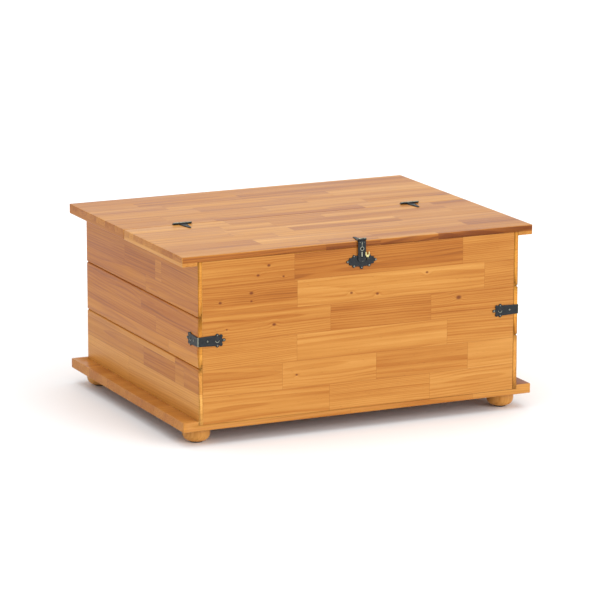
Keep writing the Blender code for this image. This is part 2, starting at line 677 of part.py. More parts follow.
def make_turn_button(plate, front_panel):
    """Brass button that turns in front of the strap, on a shouldered rivet through the plate."""
    place = on_front(BUTTON_X, BUTTON_DROP, 0.0)
    thick = BUTTON_FAR - BUTTON_NEAR
    horn = FORK_HALF_WIDTH - FORK_TIP_RADIUS
    outer = arc(0.0, 0.0, BUTTON_HALF_WIDTH, 180, 360, 8)
    outer += [(BUTTON_HALF_WIDTH, FORK_LOW), (FORK_HALF_WIDTH, FORK_WIDE)]
    outer += arc(horn, FORK_TIP, FORK_TIP_RADIUS, 0, 180, 6)
    outer += arc(0.0, FORK_NOTCH, FORK_NOTCH_RADIUS, 0, -180, 8)
    outer += arc(-horn, FORK_TIP, FORK_TIP_RADIUS, 0, 180, 6)
    outer += [(-FORK_HALF_WIDTH, FORK_WIDE), (-BUTTON_HALF_WIDTH, FORK_LOW)]
    hole = arc(0.0, 0.0, BUTTON_HOLE, 0, 330, 11)
    button = flat_solid("turn_button", [outer, hole], thick,
                        on_front(BUTTON_X, BUTTON_DROP, BUTTON_NEAR + thick / 2), parts)
    finish(button, "brass")
    dome_low = BUTTON_FAR + GAP
    dome = [(RIVET_HEAD * u, dome_low + (HASP_REACH - dome_low) * v) for u, v in arc(0, 0, 1, 90, 0, 4)]
    collar_low = 2 * GAP + STRAP_IRON
    profile = dome + [
        (RIVET_NECK, dome_low), (RIVET_NECK, BUTTON_NEAR - GAP),
        (RIVET_SHOULDER, BUTTON_NEAR - GAP), (RIVET_SHOULDER, collar_low),
        (RIVET_NECK, collar_low), (RIVET_NECK, -RIVET_LENGTH), (0.0, -RIVET_LENGTH)]
    rivet = turned("button_rivet", profile, place, 16, parts)
    drill([plate, front_panel], "rivet_hole", place, RIVET_NECK + GAP, -RIVET_LENGTH - GAP,
          BUTTON_NEAR)
    finish(rivet, "brass")
    return button


def bracket_leg_outline(length):
    """One leg, drawn from the rosette's centre, with the corner of the chest towards -X."""
    centre = length - ROSETTE_FROM_TIP
    strap = [
        (STRAP_INTO_ROSETTE, STRAP_END_HALF), (-centre, STRAP_ROOT_HALF),
        (-centre, -STRAP_ROOT_HALF), (STRAP_INTO_ROSETTE, -STRAP_END_HALF)]
    lobes = [(0.0, 0.0, ROSETTE_RADIUS), (ROSETTE_FROM_TIP - LOBE_RADIUS, 0.0, LOBE_RADIUS)]
    for way in (-1, 1):
        lobes += [(u, way * v, LOBE_RADIUS) for u, v in LOBE_SPOTS]
    return leafy_outline([strap], lobes, 72), centre


def make_bracket(side, side_name, front_panel, side_plank):
    """Bent corner bracket, a leg on the front and a leg on the side, each ending in a rosette."""
    outer_x = side * (BODY_X + GAP + IRON)
    outer_y = FRONT - GAP - IRON
    outline, centre = bracket_leg_outline(FRONT_LEG)
    sheet_y = FRONT - GAP - IRON / 2
    outline = [(-side * u, v) for u, v in outline]
    bracket = flat_solid(
        "corner_bracket_" + side_name, [outline], IRON,
        facing((outer_x - side * centre, sheet_y, BRACKET_Z), (1, 0, 0), (0, 0, 1)), parts)
    side_outline, side_centre = bracket_leg_outline(SIDE_LEG)
    sheet_x = side * (BODY_X + GAP + IRON / 2)
    leg = flat_solid(
        "side_leg_" + side_name, [side_outline], IRON,
        facing((sheet_x, outer_y + side_centre, BRACKET_Z), (0, 1, 0), (0, 0, 1)), cutters)
    combine(bracket, leg, "UNION")
    finish(bracket, "iron")
    for spot, front_reach, side_reach in (
            ("strap", BRACKET_NAIL, BRACKET_NAIL),
            ("tip", FRONT_LEG - LOBE_RADIUS, SIDE_LEG - LOBE_RADIUS)):
        nail("bracket_nail_front_" + spot + "_" + side_name,
             facing((outer_x - side * front_reach, outer_y, BRACKET_Z), (1, 0, 0), (0, 0, 1)),
             SHORT_NAIL_LENGTH, [bracket, front_panel])
        nail("bracket_nail_side_" + spot + "_" + side_name,
             facing((outer_x, outer_y + side_reach, BRACKET_Z), (0, side, 0), (0, 0, 1)),
             SHORT_NAIL_LENGTH, [bracket, side_plank])


def hang_on_axis(name, place, pieces, parent=None):
    """An empty on a joint's axis that carries the pieces which move about it."""
    axis = add_object(name, None, Matrix.Translation(place), parts)
    axis.empty_display_size = 0.03
    bpy.context.view_layer.update()
    if parent is not None:
        axis.parent = parent
        axis.matrix_parent_inverse = parent.matrix_world.inverted()
    bpy.context.view_layer.update()
    for piece in pieces:
        piece.parent = axis
        piece.matrix_parent_inverse = axis.matrix_world.inverted()
    return axis


clear_scene()
parts = new_collection("toy_box")
cutters = new_collection("cutters")

base_board = make_base_board()
lid_rear = make_lid_rear()
lid_flap = make_lid_flap()
front_panel, back_panel = make_panels()
side_planks = make_side_planks()
battens = make_inside_timbers()
make_feet(base_board)
flap_pieces = [lid_flap, *battens]
for hinge_side, hinge_name in ((-1, "left"), (1, "right")):
    flap_pieces += make_hinge(hinge_side, hinge_name, (lid_rear, lid_flap))
    make_bracket(hinge_side, hinge_name, front_panel, side_planks["side_" + hinge_name + "_middle"])
hasp_fixed, hasp_strap = make_hasp(lid_flap)
flap_pieces += hasp_fixed
hasp_plate = make_hasp_plate(front_panel)
turn_button = make_turn_button(hasp_plate, front_panel)

flap_axis = hang_on_axis("flap_axis", (0.0, SEAM, LID_TOP + HINGE_AXIS_UP), flap_pieces)
hang_on_axis("hasp_axis", (0.0, FRONT - HASP_AXIS_OUT, LID_TOP + HASP_AXIS_UP), [hasp_strap],
             flap_axis)
hang_on_axis("button_axis", (BUTTON_X, FRONT, LID_TOP - BUTTON_DROP), [turn_button])
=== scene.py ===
import json
import math
import random

import bmesh
import bpy
from mathutils import Matrix, Vector, noise


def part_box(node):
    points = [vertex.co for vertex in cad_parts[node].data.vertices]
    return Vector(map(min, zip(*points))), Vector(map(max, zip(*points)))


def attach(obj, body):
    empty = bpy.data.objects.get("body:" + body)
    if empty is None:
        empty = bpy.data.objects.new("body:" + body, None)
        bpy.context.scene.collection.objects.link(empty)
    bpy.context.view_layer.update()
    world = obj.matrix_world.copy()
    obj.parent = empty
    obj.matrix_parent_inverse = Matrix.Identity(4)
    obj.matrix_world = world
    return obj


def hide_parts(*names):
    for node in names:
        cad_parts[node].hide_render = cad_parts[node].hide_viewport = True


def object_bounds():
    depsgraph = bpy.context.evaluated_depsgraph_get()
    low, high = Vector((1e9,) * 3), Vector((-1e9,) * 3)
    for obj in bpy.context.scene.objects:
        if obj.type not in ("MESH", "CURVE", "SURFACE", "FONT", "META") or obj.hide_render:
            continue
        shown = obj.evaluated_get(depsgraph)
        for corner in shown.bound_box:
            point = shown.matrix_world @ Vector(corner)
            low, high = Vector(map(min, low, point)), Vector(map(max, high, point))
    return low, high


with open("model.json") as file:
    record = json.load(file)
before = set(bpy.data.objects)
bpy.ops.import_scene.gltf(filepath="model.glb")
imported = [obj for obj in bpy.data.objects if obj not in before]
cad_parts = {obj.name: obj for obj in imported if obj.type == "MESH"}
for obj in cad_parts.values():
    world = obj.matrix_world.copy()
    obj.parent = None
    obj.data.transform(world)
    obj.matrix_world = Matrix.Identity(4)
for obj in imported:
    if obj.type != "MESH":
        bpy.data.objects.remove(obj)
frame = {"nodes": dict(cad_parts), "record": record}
CAD_LOW, CAD_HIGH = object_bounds()

# Axes of a board: where its grain runs, across its face, and through its thickness.
X, Y, Z = 0, 1, 2

CORNERS = ("front_left", "front_right", "back_left", "back_right")

# Planes of the chest, read from its boards.
LID_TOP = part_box("lid_flap")[1].z
LEFT, RIGHT = (corner.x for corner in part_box("base_board"))
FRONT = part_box("base_board")[0].y
BODY_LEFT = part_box("side_left_middle")[0].x
BODY_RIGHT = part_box("side_right_middle")[1].x

# Tones of the staves, from the darkest heartwood to the palest sapwood.
UMBER, DARK, BROWN, TAN, HONEY = 0.27, 0.34, 0.40, 0.45, 0.49
WARM, LIGHT, PALE, CREAM = 0.53, 0.57, 0.63, 0.70

# Rows of staves: (width, ((where a stave ends, its tone), ...)), in metres. The front is laid from
# the top down and from left to right, the lid from the back forward, a side from its front edge.
FRONT_ROWS = (
    (0.0636, ((0.280, BROWN), (0.715, UMBER), (0.900, TAN))),
    (0.0636, ((0.287, BROWN), (0.773, WARM), (0.900, BROWN))),
    (0.0636, ((0.372, TAN), (0.632, DARK), (0.900, BROWN))),
    (0.0636, ((0.286, HONEY), (0.675, LIGHT), (0.900, HONEY))),
    (0.0636, ((0.249, TAN), (0.490, WARM), (0.730, BROWN), (0.900, LIGHT))),
    (0.0700, ((0.369, TAN), (0.630, HONEY), (0.900, WARM))),
)
LID_REAR_ROWS = (
    (0.0583, ((0.435, BROWN), (0.900, DARK))),
    (0.0583, ((0.138, TAN), (0.410, BROWN), (0.900, DARK))),
    (0.0583, ((0.190, HONEY), (0.632, TAN), (0.900, PALE))),
    (0.0583, ((0.250, WARM), (0.535, BROWN), (0.900, TAN))),
    (0.0583, ((0.135, BROWN), (0.405, HONEY), (0.670, WARM), (0.900, TAN))),
    (0.0640, ((0.240, TAN), (0.632, BROWN), (0.900, PALE))),
)
LID_FLAP_ROWS = (
    (0.0330, ((0.252, LIGHT), (0.800, HONEY), (0.900, DARK))),
    (0.0250, ((0.252, CREAM), (0.495, HONEY), (0.745, PALE), (0.900, WARM))),
    (0.0583, ((0.215, WARM), (0.345, HONEY), (0.810, TAN), (0.900, WARM))),
    (0.0180, ((0.205, LIGHT), (0.360, PALE), (0.645, CREAM), (0.900, LIGHT))),
    (0.0403, ((0.205, LIGHT), (0.360, LIGHT), (0.645, DARK), (0.900, TAN))),
    (0.0583, ((0.300, HONEY), (0.620, PALE), (0.900, HONEY))),
    (0.0583, ((0.225, BROWN), (0.500, PALE), (0.760, HONEY), (0.900, UMBER))),
    (0.0640, ((0.360, HONEY), (0.500, BROWN), (0.650, BROWN), (0.900, DARK))),
)
SIDE_UPPER_ROWS = (
    (0.0400, ((0.470, TAN), (0.800, TAN))),
    (0.0480, ((0.215, BROWN), (0.252, WARM), (0.440, UMBER), (0.800, DARK))),
    (0.0600, ((0.310, TAN), (0.800, DARK))),
)
SIDE_MIDDLE_ROWS = (
    (0.0550, ((0.340, DARK), (0.800, DARK))),
    (0.0380, ((0.250, BROWN), (0.800, BROWN))),
    (0.0600, ((0.175, LIGHT), (0.800, HONEY))),
)
SIDE_LOWER_ROWS = (
    (0.0230, ((0.137, DARK), (0.800, LIGHT))),
    (0.0450, ((0.085, BROWN), (0.137, TAN), (0.327, DARK), (0.800, TAN))),
    (0.0900, ((0.420, CREAM), (0.800, CREAM))),
)

# Knots of the front panel: (from the left end, below the top of the lid, radius).
FRONT_KNOTS = (
    (0.215, 0.037, 0.0036), (0.188, 0.058, 0.0034), (0.252, 0.066, 0.0026),
    (0.171, 0.098, 0.0042), (0.093, 0.114, 0.0036), (0.171, 0.117, 0.0026),
    (0.621, 0.090, 0.0030), (0.425, 0.121, 0.0032), (0.492, 0.129, 0.0034),
    (0.228, 0.177, 0.0040), (0.109, 0.178, 0.0022), (0.705, 0.158, 0.0056),
    (0.285, 0.302, 0.0026),
)
KNOTS_PER_STAVE = 3
KNOT_NAMES = tuple("knot_" + str(i + 1) for i in range(KNOTS_PER_STAVE))
FAR = 9.0                   # farther than any piece reaches
WELD = 0.000004             # points closer than this are one
CUT_SLACK = 0.000002        # points closer than this to a cut lie on it
NO_KNOT = (FAR, FAR, 0.001)
PITH_LEAN = 0.012           # how far the pith moves across over a stave's length
SHORTEST_LEAN = 0.15        # shorter staves lean as if they had this length
LAST_STAVE = 0.08           # shortest last stave of a row
BEYOND = 1.0                # reach past a board's end, which cuts the last stave there
SQUARE_ON = 0.8             # a face whose normal has this much along an axis faces that way
SLOPING = 0.3               # and one with this much is at least an eased edge on that side
SLACK = 0.00001             # allowance for rounding when faces are sorted into staves

# Camera: its direction, tilt and distance to the point it looks at, near the chest's middle.
CAMERA_AZIMUTH = math.radians(-24.945)
CAMERA_PITCH = math.radians(12.654)
CAMERA_DISTANCE = 8.599
CAMERA_AIM = Vector((0.0036, -0.0017, 0.0088))
CAMERA_LENS = 214.0
SENSOR_WIDTH = 36.0
CAMERA_CLIP_END = 100.0


class Nodes:
    """Short calls for building the node tree of one material."""

    def __init__(self, name):
        self.material = bpy.data.materials.new(name)
        self.material.use_nodes = True
        self.tree = self.material.node_tree
        self.shader = self.tree.nodes["Principled BSDF"]

    def add(self, kind, **settings):
        node = self.tree.nodes.new(kind)
        for setting, value in settings.items():
            setattr(node, setting, value)
        return node

    def feed(self, socket, value):
        """Link a socket to another one, or give it a plain value."""
        if isinstance(value, bpy.types.NodeSocket):
            self.tree.links.new(value, socket)
        else:
            socket.default_value = value

    def set(self, name, value):
        self.feed(self.shader.inputs[name], value)

    def math(self, operation, *values):
        node = self.add("ShaderNodeMath", operation=operation)
        for socket, value in zip(node.inputs, values):
            self.feed(socket, value)
        return node.outputs[0]

    def smooth(self, value, low, high):
        """0 below low, 1 above high, and a smooth rise between them."""
        node = self.add("ShaderNodeMapRange", interpolation_type="SMOOTHSTEP")
        self.feed(node.inputs[0], value)
        self.feed(node.inputs[1], low)
        self.feed(node.inputs[2], high)
        return node.outputs[0]

    def attribute(self, name, output="Vector"):
        node = self.add("ShaderNodeAttribute", attribute_name=name)
        return node.outputs[output]

    def parts(self, vector):
        node = self.add("ShaderNodeSeparateXYZ")
        self.feed(node.inputs[0], vector)
        return node.outputs

    def vector(self, x, y, z):
        node = self.add("ShaderNodeCombineXYZ")
        for socket, value in zip(node.inputs, (x, y, z)):
            self.feed(socket, value)
        return node.outputs[0]

    def stretch(self, vector, scale):
        node = self.add("ShaderNodeVectorMath", operation="MULTIPLY")
        self.feed(node.inputs[0], vector)
        self.feed(node.inputs[1], scale)
        return node.outputs[0]

    def shift(self, vector, offset):
        node = self.add("ShaderNodeVectorMath", operation="ADD")
        self.feed(node.inputs[0], vector)
        self.feed(node.inputs[1], offset)
        return node.outputs[0]

    def noise(self, vector, scale=1.0, detail=2.0, rough=0.5):
        node = self.add("ShaderNodeTexNoise")
        self.feed(node.inputs["Vector"], vector)
        self.feed(node.inputs["Scale"], scale)
        self.feed(node.inputs["Detail"], detail)
        self.feed(node.inputs["Roughness"], rough)
        return node.outputs[0]

    def cells(self, vector, scale, feature="F1"):
        node = self.add("ShaderNodeTexVoronoi", feature=feature)
        self.feed(node.inputs["Vector"], vector)
        self.feed(node.inputs["Scale"], scale)
        return node.outputs["Distance"]

    def mix(self, factor, first, second, blend="MIX"):
        node = self.add("ShaderNodeMix", data_type="RGBA", blend_type=blend)
        self.feed(node.inputs[0], factor)
        self.feed(node.inputs[6], first)
        self.feed(node.inputs[7], second)
        return node.outputs[2]

    def ramp(self, factor, stops):
        """Colour ramp with (position, (red, green, blue)) stops."""
        node = self.add("ShaderNodeValToRGB")
        elements = node.color_ramp.elements
        while len(elements) < len(stops):
            elements.new(0.5)
        for element, (position, colour) in zip(elements, stops):
            element.position = position
            element.color = (*colour, 1.0)
        self.feed(node.inputs[0], factor)
        return node.outputs[0]

    def bump(self, height, distance, strength=1.0):
        node = self.add("ShaderNodeBump")
        node.inputs["Strength"].default_value = strength
        node.inputs["Distance"].default_value = distance
        self.feed(node.inputs["Height"], height)
        self.feed(self.shader.inputs["Normal"], node.outputs[0])

    def place(self):
        return self.add("ShaderNodeTexCoord").outputs["Object"]


# Colours of pine under clear lacquer, from its darkest latewood lines to its palest sapwood.
PINE_COLOURS = (
    (0.00, (0.195, 0.052, 0.010)), (0.25, (0.400, 0.133, 0.020)), (0.50, (0.532, 0.226, 0.045)),
    (0.75, (0.652, 0.316, 0.079)), (1.00, (0.780, 0.428, 0.132)))
KNOT_COLOUR = (0.150, 0.032, 0.010, 1.0)
GLUE_COLOUR = (0.250, 0.075, 0.012, 1.0)
DUCT_COLOUR = (0.220, 0.065, 0.012, 1.0)
SIDE_SHADE_TINT = (1.0, 0.88, 0.52, 1.0)     # multiplies the colour of the side planks: a painted shade that tempers their pale sheen
PINE_IOR = 1.25
SAWN_CONTRAST = 0.80        # of the grain on ends and edges
KNOT_STRENGTH = 0.85
GLUE_STRENGTH = 0.45
DUCT_STRENGTH = 0.45
GLUE_WIDTH = 0.0007
POLISH = 0.36               # mean roughness of the lacquer

# Patterns of the grain: cycles per metre along, across and through a stave.
WANDER_SCALE = (1.6, 11.0, 11.0)
STREAK_SCALE = (2.4, 130.0, 130.0)
BAND_SCALE = (1.1, 24.0, 24.0)
FIBRE_SCALE = (26.0, 1100.0, 1100.0)
PATCH_SCALE = (5.0, 9.0, 9.0)
DUCT_SCALE = (55.0, 950.0, 950.0)
# How much each pattern changes the tone, round its mean.
STREAK_SHARE, BAND_SHARE, PATCH_SHARE, FIBRE_SHARE, RING_SHARE = 0.54, 0.42, 0.18, 0.16, -0.15
NOISE_MEAN = 0.5
LATE_MEAN = 0.2

# Growth rings and knots.
PITH_WANDER = 0.020
RING_WIDTH = 0.0038         # of the finest rings
RING_WIDTH_SPREAD = 0.0030
RING_UNEVENNESS = 2.4       # in rings
UNEVENNESS_SCALE = 60.0
LATE_RISE = (0.35, 0.90)    # shares of a ring
LATE_FALL = (1.0, 0.93)
KNOT_STRETCH = 0.72         # knots are longer along the grain
KNOT_SWELL = 0.9            # how far rings give way, in radii of the knot
KNOT_FALL_OFF = -0.20
KNOT_RIM = (1.25, 0.35)     # in radii


def pine(name, contrast):
    """Pine under clear lacquer, with growth rings round each stave's own pith."""
    n = Nodes(name)
    at = n.attribute("stave_at")
    along, across, through = n.parts(at)
    pith_across, pith_through, lean = n.parts(n.attribute("pith"))
    tone, seed, end = n.parts(n.attribute("stave"))
    half_along, half_across, side_shade = n.parts(n.attribute("seams"))

    # Every stave reads the noises at a place of its own.
    apart = n.vector(n.math("MULTIPLY", seed, 41.0), n.math("MULTIPLY", seed, 23.0),
                     n.math("MULTIPLY", seed, 57.0))
    own = n.shift(at, apart)

    # Distance from the wandering pith.
    wander = n.noise(n.stretch(own, WANDER_SCALE))
    wave = n.math("MULTIPLY", n.math("SUBTRACT", wander, NOISE_MEAN), PITH_WANDER)
    centre = n.math("MULTIPLY_ADD", along, lean, pith_across)
    side = n.math("ADD", n.math("SUBTRACT", across, centre), wave)
    deep = n.math("ADD", n.math("SUBTRACT", through, pith_through), wave)
    radius = n.math("SQRT", n.math("ADD", n.math("MULTIPLY", side, side),
                                   n.math("MULTIPLY", deep, deep)))

    # Knots push the rings aside.
    knot = 0.0
    for knot_name in KNOT_NAMES:
        knot_along, knot_across, knot_radius = n.parts(n.attribute(knot_name))
        run = n.math("MULTIPLY", n.math("SUBTRACT", along, knot_along), KNOT_STRETCH)
        rise = n.math("SUBTRACT", across, knot_across)
        distance = n.math("SQRT", n.math("ADD", n.math("MULTIPLY", run, run),
                                         n.math("MULTIPLY", rise, rise)))
        share = n.math("DIVIDE", distance, knot_radius)
        fall = n.math("MULTIPLY", n.math("MULTIPLY", share, share), KNOT_FALL_OFF)
        swell = n.math("MULTIPLY", n.math("EXPONENT", fall), knot_radius)
        radius = n.math("ADD", radius, n.math("MULTIPLY", swell, KNOT_SWELL))
        knot = n.math("MAXIMUM", knot, n.smooth(share, *KNOT_RIM))

    # Growth rings: a slow rise of latewood and a sharp fall to the next ring.
    chance = n.math("FRACT", n.math("MULTIPLY", seed, 7.3))
    ring_width = n.math("MULTIPLY_ADD", chance, RING_WIDTH_SPREAD, RING_WIDTH)
    uneven = n.noise(n.vector(n.math("MULTIPLY", radius, UNEVENNESS_SCALE),
                              n.math("MULTIPLY", seed, 13.0), 0.0))
    ring = n.math("FRACT", n.math("ADD", n.math("DIVIDE", radius, ring_width),
                                  n.math("MULTIPLY", uneven, RING_UNEVENNESS)))
    late = n.math("MULTIPLY", n.smooth(ring, *LATE_RISE), n.smooth(ring, *LATE_FALL))

    # Streaks, bands and fibres along the grain.
    streak = n.noise(n.stretch(own, STREAK_SCALE), detail=3.0, rough=0.6)
    band = n.noise(n.stretch(own, BAND_SCALE))
    fibre = n.noise(n.stretch(own, FIBRE_SCALE))
    patch = n.noise(n.stretch(own, PATCH_SCALE))

    grain = 0.0
    for pattern, mean, share in (
            (streak, NOISE_MEAN, STREAK_SHARE), (band, NOISE_MEAN, BAND_SHARE),
            (patch, NOISE_MEAN, PATCH_SHARE), (fibre, NOISE_MEAN, FIBRE_SHARE),
            (late, LATE_MEAN, RING_SHARE)):
        grain = n.math("MULTIPLY_ADD", n.math("SUBTRACT", pattern, mean), share, grain)
    strength = n.math("MULTIPLY_ADD", end, SAWN_CONTRAST - contrast, contrast)
    level = n.math("MULTIPLY_ADD", grain, strength, tone)
    # The side planks' colour is multiplied by a tint, a painted shade against their pale sheen.
    colour = n.mix(side_shade, n.ramp(level, PINE_COLOURS), SIDE_SHADE_TINT, "MULTIPLY")

    # Resin ducts, knots and glue lines.
    duct = n.noise(n.stretch(own, DUCT_SCALE), detail=1.0)
    duct = n.math("MULTIPLY", n.smooth(duct, 0.70, 0.78), DUCT_STRENGTH)
    colour = n.mix(duct, colour, DUCT_COLOUR)
    colour = n.mix(n.math("MULTIPLY", knot, KNOT_STRENGTH), colour, KNOT_COLOUR)
    edge = n.math("SUBTRACT", half_across, n.math("ABSOLUTE", across))
    butt = n.math("SUBTRACT", half_along, n.math("ABSOLUTE", along))
    glue = n.smooth(n.math("MINIMUM", edge, butt), GLUE_WIDTH, GLUE_WIDTH / 7)
    colour = n.mix(n.math("MULTIPLY", glue, GLUE_STRENGTH), colour, GLUE_COLOUR)
    n.set("Base Color", colour)

    polish = n.math("MULTIPLY_ADD", n.math("SUBTRACT", patch, NOISE_MEAN), 0.16, POLISH)
    polish = n.math("MULTIPLY_ADD", late, -0.05, polish)
    polish = n.math("MULTIPLY_ADD", end, 0.10, polish)
    n.set("Roughness", polish)
    n.set("IOR", PINE_IOR)
    height = n.math("ADD", n.math("MULTIPLY", late, 0.5), n.math("MULTIPLY", fibre, 0.5))
    height = n.math("SUBTRACT", height, n.math("ADD", glue, duct))
    n.bump(height, 0.00012, 0.5)
    return n.material


SCRATCH_SCALE = (2600.0, 300.0, 700.0)


def wrought_iron(name):
    """Hammered black iron, rubbed to bare metal on its edges and high spots, and bright where a
    highlight is painted.
    """
    n = Nodes(name)
    place = n.place()
    blotch = n.noise(place, scale=180.0, detail=3.0)
    dust = n.noise(place, scale=1400.0)
    dents = n.cells(place, 260.0, "SMOOTH_F1")
    wear_and_glint = n.attribute("wear_and_glint", "Fac")
    rub = n.math("MULTIPLY_ADD", dents, 0.16, n.math("MULTIPLY", wear_and_glint, 0.90))
    rub = n.math("MULTIPLY_ADD", n.math("SUBTRACT", blotch, NOISE_MEAN), 0.70, rub)
    rub = n.smooth(rub, 0.38, 0.80)
    dark = n.mix(blotch, (0.005, 0.007, 0.009, 1.0), (0.026, 0.030, 0.034, 1.0))
    bare = n.mix(dust, (0.22, 0.23, 0.18, 1.0), (0.50, 0.50, 0.38, 1.0))
    n.set("Base Color", n.mix(rub, dark, bare))
    n.set("Metallic", n.math("MULTIPLY_ADD", rub, 0.50, 0.30))
    n.set("Roughness", n.math("MULTIPLY_ADD", blotch, 0.30, 0.30))
    n.set("Specular IOR Level", 0.30)
    n.bump(n.math("ADD", dents, n.math("MULTIPLY", dust, 0.2)), 0.0004, 0.7)
    return n.material


def scratched(n, cloud_scale, rough):
    """Give a metal fine scratches, and return the clouds in its surface."""
    place = n.place()
    cloud = n.noise(place, scale=cloud_scale, detail=3.0)
    scratch = n.noise(n.stretch(place, SCRATCH_SCALE))
    n.set("Roughness", n.math("MULTIPLY_ADD", scratch, 0.30, rough))
    n.bump(n.math("ADD", cloud, n.math("MULTIPLY", scratch, 0.4)), 0.0001, 0.5)
    return cloud


def plain_metal(name, first, second, rough):
    """Metal whose colour, polish and surface vary, between two colours."""
    n = Nodes(name)
    cloud = scratched(n, 300.0, rough)
    n.set("Base Color", n.mix(cloud, (*first, 1.0), (*second, 1.0)))
    n.set("Metallic", 1.0)
    return n.material


def aged_brass(name):
    """Yellow brass, bright where it is rubbed or where a highlight is painted, and black elsewhere.
    """
    n = Nodes(name)
    cloud = scratched(n, 420.0, 0.22)
    rub = n.math("ADD", n.attribute("wear_and_glint", "Fac"),
                 n.math("MULTIPLY", n.math("SUBTRACT", cloud, NOISE_MEAN), 0.50))
    rub = n.smooth(rub, 0.35, 0.65)
    bright = n.mix(cloud, (0.42, 0.34, 0.10, 1.0), (0.86, 0.80, 0.42, 1.0))
    n.set("Base Color", n.mix(rub, (0.016, 0.017, 0.014, 1.0), bright))
    n.set("Metallic", n.math("MULTIPLY_ADD", rub, 0.40, 0.40))
    return n.material


def felt_cloth(name):
    """Near-black felt with a fine fuzz."""
    n = Nodes(name)
    place = n.place()
    fuzz = n.noise(place, scale=1500.0, detail=3.0, rough=0.7)
    tuft = n.noise(place, scale=260.0)
    n.set("Base Color", n.mix(tuft, (0.006, 0.005, 0.005, 1.0), (0.022, 0.019, 0.017, 1.0)))
    n.set("Roughness", n.math("MULTIPLY_ADD", fuzz, 0.12, 0.86))
    n.set("Sheen Weight", 0.05)
    n.bump(n.math("ADD", fuzz, tuft), 0.0006, 0.8)
    return n.material


MATERIALS = {
    "pine": pine("pine_lacquered", 0.90),
    "pine_lid": pine("pine_lacquered_lid", 1.50),
    "iron": wrought_iron("wrought_iron"),
    "nail": plain_metal("nail_steel", (0.05, 0.06, 0.06), (0.34, 0.34, 0.28), 0.26),
    "steel": plain_metal("pin_steel", (0.34, 0.34, 0.33), (0.52, 0.52, 0.50), 0.25),
    "brass": aged_brass("aged_brass"),
    "felt": felt_cloth("felt_cloth"),
}
BODY_OF = {
    node: body for body, nodes in frame["record"]["behaviour"]["bodies"].items() for node in nodes}


SHARP_ANGLE = 50            # in degrees, past which an edge stays sharp
FORGED_SHARP_ANGLE = 70


def shape_to_mesh(shape, name, sharp=SHARP_ANGLE):
    """Smoothly shaded mesh with sharp edges; the shape itself is used up."""
    mesh = bpy.data.meshes.new(name)
    shape.to_mesh(mesh)
    shape.free()
    mesh.shade_smooth()
    mesh.set_sharp_from_angle(angle=math.radians(sharp))
    return mesh


def stave_layers(shape):
    """Values that the wood reads: a set on each face, and a place in the stave on its corners."""
    names = ("pith", "stave", "seams", *KNOT_NAMES)
    layers = {name: shape.faces.layers.float_vector.new(name) for name in names}
    return layers, shape.loops.layers.float_vector.new("stave_at")


def add_object(name, data):
    """Put a new object in the scene."""
    item = bpy.data.objects.new(name, data)
    bpy.context.scene.collection.objects.link(item)
    return item


def add_piece(name, mesh, finish, body, nodes=()):
    """Put a mesh in the scene as a piece that rides on a body and may stand for CAD nodes."""
    piece = add_object(name, mesh)
    mesh.materials.clear()
    mesh.materials.append(MATERIALS[finish])
    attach(piece, body)
    if nodes:
        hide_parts(*nodes)
    return piece


FLATNESS = 90               # weight of large faces in the shading of the boards
FIRST_STAVE = 0.3           # shortest first stave of a row, as a share of the other shortest ones


